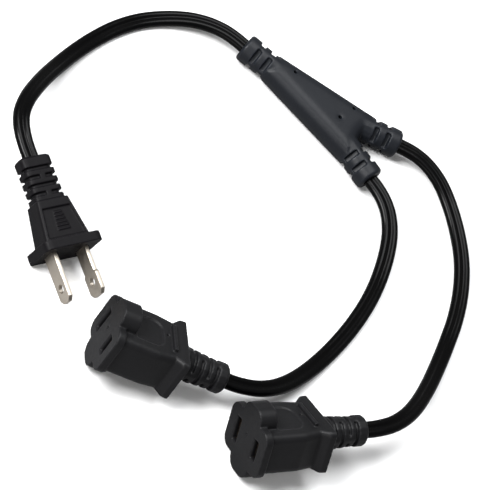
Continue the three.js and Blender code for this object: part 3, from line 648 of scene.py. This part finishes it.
class Surface:
    """Attributes that the finishes read."""

    @staticmethod
    def floats(piece: bpy.types.Object, name: str, values: np.ndarray) -> None:
        """Writes one number per vertex."""
        layer = piece.data.attributes.new(name, "FLOAT", "POINT")
        layer.data.foreach_set("value", values.astype(np.float32))

    @classmethod
    def mark_edges(cls, piece: bpy.types.Object, reach: float) -> None:
        """Writes how far each vertex stands proud of its neighbours, as the attribute edge.

        Args:
            piece: the object.
            reach: the height in millimetres that counts as a full edge.
        """
        mesh = piece.data
        count = len(mesh.vertices)
        place = corners(mesh)
        ends = np.empty(len(mesh.edges) * 2, np.int32)
        mesh.edges.foreach_get("vertices", ends)
        ends = ends.reshape(-1, 2)
        normal = np.empty(count * 3, np.float32)
        mesh.vertex_normals.foreach_get("vector", normal)
        normal = normal.reshape(-1, 3)
        both = np.vstack([ends, ends[:, ::-1]])
        step = place[both[:, 0]] - place[both[:, 1]]
        proud = (step * normal[both[:, 0]]).sum(1)
        near = np.maximum(np.bincount(both[:, 0], minlength=count), 1)
        value = np.bincount(both[:, 0], weights=proud, minlength=count) / near
        for _ in range(3):
            spread = np.bincount(both[:, 0], weights=value[both[:, 1]], minlength=count) / near
            value = 0.5 * value + 0.5 * spread
        cls.floats(piece, "edge", np.clip(value / (reach * MM), 0.0, 1.0))

    @staticmethod
    def mark_part(piece: bpy.types.Object, place: Placement) -> None:
        """Writes each vertex's place in its moulding's frame, in metres, as the attribute part."""
        back = np.array(place.matrix().inverted())
        local = corners(piece.data) @ back[:3, :3].T + back[:3, 3]
        layer = piece.data.attributes.new("part", "FLOAT_VECTOR", "POINT")
        layer.data.foreach_set("vector", local.astype(np.float32).ravel())


def settle(piece: bpy.types.Object, material: bpy.types.Material,
           nodes: Iterable[str]) -> bpy.types.Object:
    """Gives a piece its finish and its body.

    Args:
        piece: the finished object.
        material: its material.
        nodes: the CAD nodes that it stands for.

    Returns:
        The object.
    """
    piece.data.materials.clear()
    piece.data.materials.append(material)
    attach(piece, BODY)
    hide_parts(*nodes)
    log.info("piece %s: %d faces", piece.name, len(piece.data.polygons))
    return piece


# Where the mouldings lie, as in the CAD
PLUG_PLACE = Placement(-56.82, 42.61, 7.841, 61.5, -7.0, 0.0)
SOCKET_A_PLACE = Placement(-75.92, 15.01, 14.243, -60.8, 6.0, -18.0)
SOCKET_B_PLACE = Placement(-69.32, -43.89, 13.232, -37.2, 0.5, -29.0)
SPLITTER_PLACE = Placement(69.08, 47.41, 5.3, -87.0)
ORIGIN_SHIFT = Vector((6.08, -10.29, 0.0))


class Studio:
    """Camera, floor and lights."""

    AIM_PIXELS = (23.0, 17.0)
    PIXELS_PER_MM = 2.87
    DISTANCE = 1400.0
    ELEVATION = math.radians(50)
    ROLL = math.radians(42)
    SENSOR = 36.0
    IMAGE = 490

    def axes(self) -> tuple[Vector, Vector, Vector]:
        """The camera's right, up and backward directions in the world."""
        sin_roll, cos_roll = math.sin(self.ROLL), math.cos(self.ROLL)
        sin_rise, cos_rise = math.sin(self.ELEVATION), math.cos(self.ELEVATION)
        up = Vector((sin_roll * cos_rise, cos_roll * cos_rise, sin_rise))
        right = Vector((cos_roll, -sin_roll, 0.0))
        away = up.cross(right)
        return tuple(Vector((away[i], -right[i], up[i])) for i in range(3))

    def camera(self) -> None:
        """Makes the long-lens camera at the photograph's angle."""
        right, up, back = self.axes()
        data = bpy.data.cameras.new("camera")
        data.sensor_width = self.SENSOR
        data.lens = self.PIXELS_PER_MM * self.DISTANCE * self.SENSOR / self.IMAGE
        data.clip_end = 20.0
        camera = bpy.data.objects.new("camera", data)
        bpy.context.scene.collection.objects.link(camera)
        aim = ORIGIN_SHIFT - right * (self.AIM_PIXELS[0] / self.PIXELS_PER_MM) + up * (
            self.AIM_PIXELS[1] / self.PIXELS_PER_MM)
        turn = Matrix((right, up, back)).transposed().to_4x4()
        camera.matrix_world = Matrix.Translation((aim + back * self.DISTANCE) * MM) @ turn
        bpy.context.scene.camera = camera

    def floor(self, material: bpy.types.Material) -> None:
        """Lays the floor under the object."""
        bpy.ops.object.select_all(action="DESELECT")
        bpy.ops.mesh.primitive_plane_add(size=8.0, location=(0.0, 0.0, 0.0))
        floor = bpy.context.object
        floor.name = "studio_floor"
        floor.data.materials.append(material)

    def light(self, name: str, place: Point, size: float, power: float, colour: Colour) -> None:
        """Hangs a soft square light aimed at the object.

        Args:
            name: the light's name.
            place: where it hangs, in metres.
            size: its side, in metres.
            power: its watts.
            colour: its tint.
        """
        data = bpy.data.lights.new(name, "AREA")
        data.size = size
        data.energy = power
        data.color = colour
        light = bpy.data.objects.new(name, data)
        bpy.context.scene.collection.objects.link(light)
        light.location = place
        light.rotation_euler = (-Vector(place)).to_track_quat("-Z", "Y").to_euler()

    def world(self, seen: float, cast: float) -> None:
        """Makes the surroundings: white where seen, softer where they light.

        Args:
            seen: brightness to the camera.
            cast: brightness as a light.
        """
        world = bpy.data.worlds.new("studio")
        bpy.context.scene.world = world
        world.use_nodes = True
        nodes, links = world.node_tree.nodes, world.node_tree.links
        nodes.clear()
        output = nodes.new("ShaderNodeOutputWorld")
        mixer = nodes.new("ShaderNodeMixShader")
        path = nodes.new("ShaderNodeLightPath")
        links.new(path.outputs["Is Camera Ray"], mixer.inputs[0])
        for place, strength in ((1, cast), (2, seen)):
            glow = nodes.new("ShaderNodeBackground")
            glow.inputs["Color"].default_value = (1.0, 1.0, 1.0, 1.0)
            glow.inputs["Strength"].default_value = strength
            links.new(glow.outputs[0], mixer.inputs[place])
        links.new(mixer.outputs[0], output.inputs["Surface"])

    def build(self, finishes: Finishes) -> None:
        """Makes everything that isn't the object."""
        bpy.context.scene.view_settings.view_transform = "Standard"
        self.camera()
        self.floor(finishes.floor)
        self.light("key", (-0.6, 0.75, 0.95), 0.6, 30.0, (1.0, 1.0, 1.0))
        self.light("top", (0.35, 0.2, 1.3), 0.9, 19.0, (0.98, 0.99, 1.0))
        self.light("fill", (-1.2, -0.1, 0.5), 0.7, 4.0, (1.0, 0.99, 0.98))
        self.world(1.0, 0.3)
        log.info("studio ready")


@dataclass(frozen=True)
class Route:
    """One cord's centreline, in millimetres, from the Y-moulding outwards."""

    node: str
    start: Placement
    start_axis: tuple[Point, Point]
    middle: tuple[Point, ...]
    end: Placement
    end_inner: float
    end_exit: float
    far_end: str


class FlatCord:
    """A two-lobed flat cord swept level along its route."""

    LOBE_RADIUS = 1.54
    CORE_OFFSET = 1.52
    CORE_RADIUS = 0.6
    VALLEY = 0.62
    LIFT = 0.1
    STRAIGHT = 4.0
    STEP = 0.9
    LOBE_POINTS = 15
    CORE_POINTS = 10
    SPAN_POINTS = 24

    def __init__(self, route: Route) -> None:
        """Keeps the route and works out its line."""
        self.route = route
        self.line = self._line()

    def _exits(self) -> tuple[list[Vector], list[Vector]]:
        """The points inside and just outside both mouldings, in world millimetres."""
        route = self.route
        inner, exit_point = (route.start.point(*point) / MM for point in route.start_axis)
        outward = (exit_point - inner).normalized()
        start = [inner, exit_point, exit_point + outward * self.STRAIGHT]
        places = (route.end_inner, route.end_exit, route.end_exit + self.STRAIGHT)
        end = [route.end.point(x, 0.0, 0.0) / MM for x in places]
        return start, end

    def _line(self) -> np.ndarray:
        """The centreline as close points, from a centripetal curve through the route's points."""
        start, end = self._exits()
        lift = Vector((0.0, 0.0, self.LIFT))
        middle = [Vector(point) + ORIGIN_SHIFT + lift for point in self.route.middle]
        control = np.array([tuple(p) for p in [*start, *middle, *reversed(end)]])
        control = np.vstack([2 * control[0] - control[1], control, 2 * control[-1] - control[-2]])
        points = []
        for a, b, c, d in zip(control, control[1:], control[2:], control[3:]):
            points.append(self._span(a, b, c, d))
        line = np.vstack([*points, control[-2]])
        gap = np.r_[0.0, np.cumsum(np.linalg.norm(np.diff(line, axis=0), axis=1))]
        places = np.linspace(0.0, gap[-1], int(gap[-1] / self.STEP) + 1)
        return np.column_stack([np.interp(places, gap, line[:, axis]) for axis in range(3)])

    @classmethod
    def _span(cls, a: np.ndarray, b: np.ndarray, c: np.ndarray, d: np.ndarray) -> np.ndarray:
        """Points of the curve between b and c."""
        knots = [0.0]
        for first, second in ((a, b), (b, c), (c, d)):
            knots.append(knots[-1] + max(np.linalg.norm(second - first), 1e-6) ** 0.5)
        t = np.linspace(knots[1], knots[2], cls.SPAN_POINTS, endpoint=False)[:, None]

        def between(p: np.ndarray, q: np.ndarray, low: float, high: float) -> np.ndarray:
            """Points on the way from p, at the knot low, to q, at the knot high."""
            return p * (high - t) / (high - low) + q * (t - low) / (high - low)

        ab = between(a, b, knots[0], knots[1])
        bc = between(b, c, knots[1], knots[2])
        cd = between(c, d, knots[2], knots[3])
        abc = between(ab, bc, knots[0], knots[2])
        bcd = between(bc, cd, knots[1], knots[3])
        return between(abc, bcd, knots[1], knots[2])

    def _outline(self) -> np.ndarray:
        """The section, sideways and upwards, in millimetres: two lobes and a valley on each face."""
        # The valley's corner, where the lobe circle is as high as the web
        height = self.LOBE_RADIUS * self.VALLEY
        reach = math.acos(height / self.LOBE_RADIUS)
        low, high = -math.pi / 2 - reach, math.pi / 2 + reach
        angles = np.linspace(low, high, self.LOBE_POINTS)
        right = np.column_stack([self.CORE_OFFSET + self.LOBE_RADIUS * np.cos(angles),
                                 self.LOBE_RADIUS * np.sin(angles)])
        return np.vstack([right, -right])

    def build_wire(self, wire: "WireTails", material: bpy.types.Material) -> bpy.types.Object:
        """Makes one core, inside the jacket and on to its joints in the mouldings.

        Args:
            wire: the core's name, side and ends.
            material: its finish.

        Returns:
            The core.
        """
        side, _ = Workshop.level_frames(self.line)
        core = self.line + side * wire.side * self.CORE_OFFSET
        angles = np.linspace(0.0, 2 * math.pi, self.CORE_POINTS, endpoint=False)
        outline = self.CORE_RADIUS * np.column_stack([np.cos(angles), np.sin(angles)])
        line = np.vstack([np.array(wire.start), core, np.array(wire.end)])
        piece = Workshop.sweep(f"{wire.node}_strands", line, outline)
        return settle(piece, material, [wire.node])

    def build(self, material: bpy.types.Material) -> bpy.types.Object:
        """Makes the cord's mesh.

        Args:
            material: its finish.

        Returns:
            The cord.
        """
        outline = self._outline()
        cord = Workshop.sweep(f"{self.route.node}_jacket", self.line, outline)
        rows, columns = len(self.line), len(outline)
        places = np.repeat(np.arange(rows) * self.STEP * MM, columns)
        around = np.tile(outline[:, 0] * MM, rows)
        Surface.floats(cord, "along", places)
        Surface.floats(cord, "around", around)
        settle(cord, material, [self.route.node])
        return cord

    def length(self) -> float:
        """The cord's length in metres."""
        return float(np.linalg.norm(np.diff(self.line, axis=0), axis=1).sum()) * MM

    def declare(self, cord: bpy.types.Object, with_pieces: Sequence[bpy.types.Object]) -> None:
        """Args:
            cord: the cord's object; not used.
            with_pieces: the pieces on its far end; not used.
        """
        exit_point = self.route.start.point(*self.route.start_axis[1])
        width = 2 * (self.LOBE_RADIUS + self.CORE_OFFSET) * MM
        round(self.length(), 3)


SUPPLY_ROUTE = (
    (62.1, 66.1, 5.1), (60.4, 71.4, 4.6), (57.1, 77.5, 3.6), (51.5, 83.9, 2.3), (42.6, 90.4, 1.5),
    (32.4, 94.8, 1.5), (21.6, 97.6, 1.6), (10.5, 99.2, 2.5), (-1, 99.9, 4.8), (-12.5, 100, 8),
    (-23.4, 99.3, 11), (-29.4, 98.3, 12.3), (-34.8, 96.5, 13), (-38.9, 93.8, 13.2), (-42.1, 90.4, 13),
)
BRANCH_A_ROUTE = (
    (53.1, -15.8, 5.1), (50.1, -20.4, 4.6), (45, -25.2, 3.6), (37.7, -29.4, 2.3), (27.4, -33.1, 1.5),
    (16.8, -35.4, 1.5), (6, -36.6, 1.5), (-4.8, -36.9, 1.5), (-15.7, -36.4, 1.6), (-26.5, -35.1, 2.6),
    (-37.1, -32.8, 4.5), (-45, -29.8, 6.2), (-50.9, -26, 7.5), (-54.8, -22.2, 8.4),
)
BRANCH_B_ROUTE = (
    (79.6, -14.7, 5.1), (80, -20.2, 4.6), (78.8, -27.1, 3.6), (75.2, -34.8, 2.3), (67.7, -44.3, 1.5),
    (58.5, -52.2, 1.5), (48, -58.4, 1.5), (36.8, -63, 1.5), (25, -66.3, 1.6), (13.1, -68.7, 3.2),
    (1, -70.4, 5.9), (-11.1, -71.1, 9), (-19.6, -70.5, 10.9), (-26.4, -68.8, 12), (-31.4, -66.5, 12.6),
)


@dataclass(frozen=True)
class YSizes:
    """Main sizes of the Y-moulding, in millimetres."""

    length: float = 65.0
    spacing: float = 21.2
    angle: float = 18.0
    neck_jacket: float = 14.0
    thickness: float = 10.4
    neck_radius: float = 5.1
    cap_radius: float = 5.3
    bore_radius: float = 3.6
    cap_span: tuple[float, float] = (0.7, 4.7)
    sleeve_span: tuple[float, float] = (4.0, 11.8)
    slot_starts: tuple[float, float] = (5.5, 10.2)
    slot_width: float = 1.9
    slot_length: float = 5.6
    slot_depth: float = 1.7
    slot_height: float = 3.0
    body: tuple[float, float] = (12.5, 52.0)
    body_passes: int = 90
    pins: tuple[tuple[float, float], ...] = ((20.0, 1.7), (44.5, 6.3), (42.5, -1.2))
    pin_radius: float = 0.75
    pin_depth: float = 2.6
    voxel: float = 0.26
    passes: int = 7

    def branch_frame(self, side: int) -> Matrix:
        """A branch neck's frame, from its mouth inwards, in millimetres."""
        mouth = Vector((self.length, side * self.spacing / 2, 0.0))
        return Matrix.Translation(mouth) @ Matrix.Rotation(math.radians(self.angle) * side + math.pi, 4, "Z")

    def branch_axis(self, side: int) -> tuple[Point, Point]:
        """The inner end and the mouth of a branch neck.

        Args:
            side: -1 for branch A, 1 for branch B.

        Returns:
            Both points in the moulding's frame.
        """
        neck = self.branch_frame(side)
        return tuple(neck @ Vector((self.neck_jacket, 0.0, 0.0))), tuple(neck.translation)


class YMoulding:
    """The flat Y-shaped moulding with its three grooved necks."""

    NECK_SIDES = 56

    def __init__(self, sizes: YSizes) -> None:
        """Keeps the sizes."""
        self.sizes = sizes

    def _neck_frames(self) -> list[Matrix]:
        """The three necks' frames, from the mouth inwards, in metres."""
        frames = [Matrix.Identity(4)]
        for side in (-1, 1):
            neck = self.sizes.branch_frame(side)
            neck.translation *= MM
            frames.append(neck)
        return [SPLITTER_PLACE.matrix() @ each for each in frames]

    def _cylinder(self, neck: Matrix, span: tuple[float, float], radius: float) -> bpy.types.Object:
        """A finely sided cylinder along a neck.

        Args:
            neck: the neck's frame.
            span: where it starts and ends, in millimetres from the mouth.
            radius: its radius, in millimetres.

        Returns:
            The cylinder.
        """
        piece = Workshop.cylinder(self.NECK_SIDES, radius, span[1] - span[0])
        centre = Matrix.Translation((sum(span) / 2 * MM, 0.0, 0.0))
        piece.data.transform(neck @ centre @ Matrix.Rotation(math.pi / 2, 4, "Y"))
        return piece

    def _round_neck(self, piece: bpy.types.Object, neck: Matrix) -> None:
        """Fills a neck's coarse grooves with a round sleeve.

        Args:
            piece: the moulding.
            neck: the neck's frame.
        """
        sizes = self.sizes
        for span, radius in ((sizes.cap_span, sizes.cap_radius), (sizes.sleeve_span, sizes.neck_radius)):
            sleeve = self._cylinder(neck, span, radius)
            hollow = self._cylinder(neck, (span[0] - 1.0, span[1] + 1.0), sizes.bore_radius)
            Workshop.cut(sleeve, hollow)
            Workshop.join([piece, sleeve])

    def _slots(self) -> bpy.types.Object:
        """All the necks' groove segments as one tool: four to each groove, with a bridge between each two."""
        sizes = self.sizes
        tools = []
        for neck in self._neck_frames():
            for start in sizes.slot_starts:
                for quarter in range(4):
                    tool = Workshop.cube()
                    block = (sizes.slot_width * MM, sizes.slot_length * MM, sizes.slot_height * MM)
                    shape = Matrix.Diagonal((*block, 1.0))
                    out = sizes.neck_radius - sizes.slot_depth + sizes.slot_height / 2
                    lift = Matrix.Translation((start * MM, 0.0, out * MM))
                    turn = Matrix.Rotation(math.radians(45 + 90 * quarter), 4, "X")
                    tool.data.transform(neck @ turn @ lift @ shape)
                    tools.append(tool)
        return Workshop.join(tools)

    def build(self) -> bpy.types.Object:
        """Shapes the moulding."""
        piece = Workshop.copy_node("splitter_overmould", "splitter_moulding")
        sizes = self.sizes
        for neck in self._neck_frames():
            self._round_neck(piece, neck)
        Workshop.soften(piece, sizes.voxel, 0)
        Workshop.cut(piece, self._slots(), "MANIFOLD")
        Workshop.soften(piece, sizes.voxel, sizes.passes)
        Workshop.relax(piece, SPLITTER_PLACE, *sizes.body, sizes.body_passes)
        for x, y in sizes.pins:
            centre = (x, y, sizes.thickness / 2)
            Workshop.drill(piece, SPLITTER_PLACE, centre, sizes.pin_radius, sizes.pin_depth)
        Surface.mark_edges(piece, EDGE_REACH)
        Surface.mark_part(piece, SPLITTER_PLACE)
        return piece

    def dress(self, piece: bpy.types.Object, finishes: Finishes) -> bpy.types.Object:
        """Gives the moulding its finish."""
        return settle(piece, finishes.splitter, ["splitter_overmould"])


@dataclass(frozen=True)
class WireTails:
    """A core's side in its cord and its bare ends in the mouldings, in world millimetres."""

    node: str
    side: int
    start: list[Vector]
    end: list[Vector]


@dataclass(frozen=True)
class JointSizes:
    """Where the cores are joined inside the mouldings, in millimetres of each moulding's frame."""

    fit: float = 0.3
    core: float = 1.45
    inside: float = 1.0
    sleeve_y: float = 3.2
    sleeve_span: tuple[float, float] = (26.0, 34.0)
    stack: float = 0.78
    crossing: float = 1.5
    plug_barrel: tuple[float, float] = (7.7, 12.7)
    plug_barrel_y: float = 4.4
    plug_jacket: float = 18.5
    plug_exit: float = 35.0
    socket_barrel: tuple[float, float] = (13.0, 18.6)
    socket_barrel_y: float = 6.35
    socket_jacket: float = 31.0
    socket_exit: float = 46.5


class Joints:
    """The bare cores' points, from the splice sleeves to the necks and in the far ends' mouldings."""

    def __init__(self, sizes: JointSizes, y_sizes: YSizes) -> None:
        """Keeps the joints' sizes and the Y-moulding's."""
        self.sizes = sizes
        self.y_sizes = y_sizes

    def _supply_start(self, side: int) -> list[Point]:
        """A supply core's points, from its sleeve towards the single neck."""
        sizes = self.sizes
        start = sizes.sleeve_span[0]
        return [(start + 3.0, side * sizes.sleeve_y, 0.0), (start - sizes.fit, side * sizes.sleeve_y, 0.0),
                (start - 3.4, side * (sizes.sleeve_y - 0.5), 0.0),
                (self.y_sizes.neck_jacket + 4.0, side * (sizes.core + 0.3), 0.0)]

    def _branch_start(self, branch: int, sleeve: int) -> list[Point]:
        """A branch core's points, from its sleeve to its branch; the two inner cores cross.

        Args:
            branch: -1 for branch A, 1 for branch B.
            sleeve: the sleeve's side.

        Returns:
            The points.
        """
        sizes = self.sizes
        start, end = sizes.sleeve_span
        same = branch == sleeve
        beside = sleeve * (sizes.sleeve_y + (0.4 if same else -0.1))
        points = [(start + 5.0, sleeve * sizes.sleeve_y, -branch * sizes.stack),
                  (end + sizes.fit, sleeve * sizes.sleeve_y, -branch * sizes.stack),
                  (end + 4.0, beside, -branch * (sizes.stack + 0.1))]
        if same:
            points.append((end + 11.0, sleeve * 5.4, -branch * 0.6))
        else:
            points.append((end + 8.0, sleeve * 1.4, -branch * sizes.crossing))
            points.append((end + 12.0, -sleeve * 1.4, -branch * sizes.crossing))
        neck = self.y_sizes.branch_frame(branch)
        last = neck @ Vector((self.y_sizes.neck_jacket + sizes.inside, -sleeve * sizes.core, 0.0))
        return [*points, tuple(last)]

    def _plug_end(self, side: int) -> list[Point]:
        """A core's points in the plug, from the jacket's end to its barrel."""
        sizes = self.sizes
        y = sizes.plug_barrel_y
        start, end = sizes.plug_barrel
        return [(sizes.plug_jacket - sizes.inside, side * sizes.core, 0.0),
                (end + 2.4, side * (0.6 * y + 0.4 * sizes.core), 0.0),
                (end + sizes.fit, side * y, 0.0), (start + 1.0, side * y, 0.0)]

    def _socket_end(self, side: int) -> list[Point]:
        """A core's points in a socket, from the jacket's end to its barrel."""
        sizes = self.sizes
        y = sizes.socket_barrel_y
        start, end = sizes.socket_barrel
        return [(sizes.socket_jacket - sizes.inside, side * sizes.core, 0.0),
                (sizes.socket_jacket - 4.0, side * (0.28 * y + 0.72 * sizes.core), 0.0),
                (end + 2.6, side * (0.72 * y + 0.28 * sizes.core), 0.0),
                (end + sizes.fit, side * y, 0.0), (start + 1.0, side * y, 0.0)]

    @staticmethod
    def _in_world(place: Placement, points: Iterable[Point]) -> list[Vector]:
        """A moulding's points in world millimetres."""
        return [place.point(*point) / MM for point in points]

    def supply(self) -> list[WireTails]:
        """Both cores of the supply cord."""
        tails = []
        for name, side in (("line", 1), ("neutral", -1)):
            start = self._in_world(SPLITTER_PLACE, self._supply_start(side))
            end = self._in_world(PLUG_PLACE, self._plug_end(side))
            tails.append(WireTails(f"supply_{name}_wire", -side, start, end))
        return tails

    def branch(self, letter: str, branch: int, place: Placement) -> list[WireTails]:
        """Both cores of a branch cord.

        Args:
            letter: the branch's letter.
            branch: -1 for branch A, 1 for branch B.
            place: its socket's placement.

        Returns:
            The cores.
        """
        tails = []
        for name, sleeve in (("line", 1), ("neutral", -1)):
            start = self._in_world(SPLITTER_PLACE, self._branch_start(branch, sleeve))
            end = self._in_world(place, self._socket_end(-sleeve))
            tails.append(WireTails(f"branch_{letter}_{name}_wire", sleeve, start, end))
        return tails


@dataclass(frozen=True)
class SocketSizes:
    """Sizes of a socket's finer detail, in millimetres."""

    contact_y: float = 6.35
    slot_width: float = 2.5
    wide: float = 9.0
    narrow: float = 7.2
    mouth: float = 0.55
    mouth_depth: float = 1.2
    voxel: float = 0.26
    passes: int = 7


class Socket:
    """One two-slot socket."""

    def __init__(self, letter: str, place: Placement, sizes: SocketSizes) -> None:
        """Keeps the socket's letter, place and sizes."""
        self.letter = letter
        self.place = place
        self.sizes = sizes

    def build(self) -> bpy.types.Object:
        """Shapes the moulding, with a bevelled mouth at each slot."""
        sizes = self.sizes
        node = f"socket_{self.letter}_overmould"
        piece = Workshop.copy_node(node, f"socket_{self.letter}_moulding")
        for y, length in ((sizes.contact_y, sizes.wide), (-sizes.contact_y, sizes.narrow)):
            size = (sizes.mouth_depth, sizes.slot_width, length)
            mouth = Workshop.funnel(self.place, (0.0, y, 0.0), size, sizes.mouth)
            Workshop.cut(piece, mouth)
        Workshop.soften(piece, sizes.voxel, sizes.passes)
        Surface.mark_edges(piece, EDGE_REACH)
        Surface.mark_part(piece, self.place)
        return piece

    def dress(self, piece: bpy.types.Object, finishes: Finishes) -> bpy.types.Object:
        """Gives the moulding its finish."""
        return settle(piece, finishes.socket, [f"socket_{self.letter}_overmould"])


@dataclass(frozen=True)
class PlugSizes:
    """Mesh sizes of the plug's pieces, in millimetres."""

    voxel: float = 0.2
    passes: int = 6
    blade_edge: float = 0.16
    blade_wear: float = 0.02


class Plug:
    """The plug's moulding and its two blades."""

    def __init__(self, place: Placement, sizes: PlugSizes) -> None:
        """Keeps the plug's place and sizes."""
        self.place = place
        self.sizes = sizes

    def build(self) -> bpy.types.Object:
        """Shapes the moulding."""
        piece = Workshop.copy_node("plug_overmould", "plug_moulding")
        Workshop.soften(piece, self.sizes.voxel, self.sizes.passes)
        Surface.mark_edges(piece, EDGE_REACH)
        Surface.mark_part(piece, self.place)
        return piece

    def build_blade(self, kind: str) -> bpy.types.Object:
        """Shapes one stamped blade, its edges lightly rounded."""
        piece = Workshop.copy_node(f"plug_blade_{kind}", f"blade_{kind}_strip")
        Workshop.only(piece)
        bpy.ops.object.mode_set(mode="EDIT")
        bpy.ops.mesh.select_all(action="SELECT")
        bpy.ops.mesh.dissolve_limited(angle_limit=math.radians(2))
        bpy.ops.object.mode_set(mode="OBJECT")
        Workshop.apply(piece, "BEVEL", width=self.sizes.blade_edge * MM, segments=3, limit_method="ANGLE",
                       angle_limit=math.radians(35), use_clamp_overlap=True)
        Workshop.apply(piece, "TRIANGULATE")
        Workshop.only(piece)
        bpy.ops.object.shade_smooth_by_angle(angle=math.radians(35))
        Surface.mark_edges(piece, self.sizes.blade_wear)
        Surface.mark_part(piece, self.place)
        return piece

    def dress(self, piece: bpy.types.Object, finishes: Finishes) -> list[bpy.types.Object]:
        """Gives the moulding and the blades their finishes."""
        pieces = [settle(piece, finishes.plug, ["plug_overmould"])]
        for kind in ("narrow", "wide"):
            pieces.append(settle(self.build_blade(kind), finishes.nickel, [f"plug_blade_{kind}"]))
        return pieces


def dress_hidden(finishes: Finishes) -> None:
    """Gives the CAD nodes that stay their materials."""
    kinds: dict[str, bpy.types.Material] = {
        "carrier": finishes.carrier, "contact_wide": finishes.brass, "contact_narrow": finishes.brass,
        "crimp_line": finishes.tin, "crimp_neutral": finishes.tin,
    }
    for name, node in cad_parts.items():
        for ending, material in kinds.items():
            if name.endswith(ending):
                node.data.materials.clear()
                node.data.materials.append(material)
                log.info("node %s: %s", name, material.name)


def main() -> None:
    """Builds the whole scene."""
    finishes = Finishes()
    Studio().build(finishes)
    y_sizes = YSizes()
    joint_sizes = JointSizes()
    joints = Joints(joint_sizes, y_sizes)
    plug_ends = (joint_sizes.plug_jacket, joint_sizes.plug_exit)
    socket_ends = (joint_sizes.socket_jacket, joint_sizes.socket_exit)
    supply_axis = ((y_sizes.neck_jacket, 0.0, 0.0), (0.0, 0.0, 0.0))
    supply = Route("supply_cord", SPLITTER_PLACE, supply_axis, SUPPLY_ROUTE, PLUG_PLACE, *plug_ends, "plug")
    routes = [(supply, joints.supply())]
    for letter, side, points, place in (("a", -1, BRANCH_A_ROUTE, SOCKET_A_PLACE),
                                        ("b", 1, BRANCH_B_ROUTE, SOCKET_B_PLACE)):
        route = Route(f"branch_{letter}_cord", SPLITTER_PLACE, y_sizes.branch_axis(side), points, place,
                      *socket_ends, "connector")
        routes.append((route, joints.branch(letter, side, place)))
    cords = []
    for route, wires in routes:
        cord = FlatCord(route)
        cords.append((cord, cord.build(finishes.jacket)))
        for wire in wires:
            cord.build_wire(wire, finishes.copper)
    splitter = YMoulding(y_sizes)
    splitter.dress(splitter.build(), finishes)
    plug = Plug(PLUG_PLACE, PlugSizes())
    ends: list[list[bpy.types.Object]] = [plug.dress(plug.build(), finishes)]
    for letter, place in (("a", SOCKET_A_PLACE), ("b", SOCKET_B_PLACE)):
        socket = Socket(letter, place, SocketSizes())
        ends.append([socket.dress(socket.build(), finishes)])
    dress_hidden(finishes)
    for (cord, piece), pieces in zip(cords, ends):
        cord.declare(piece, pieces)


if __name__ == "__main__":
    main()
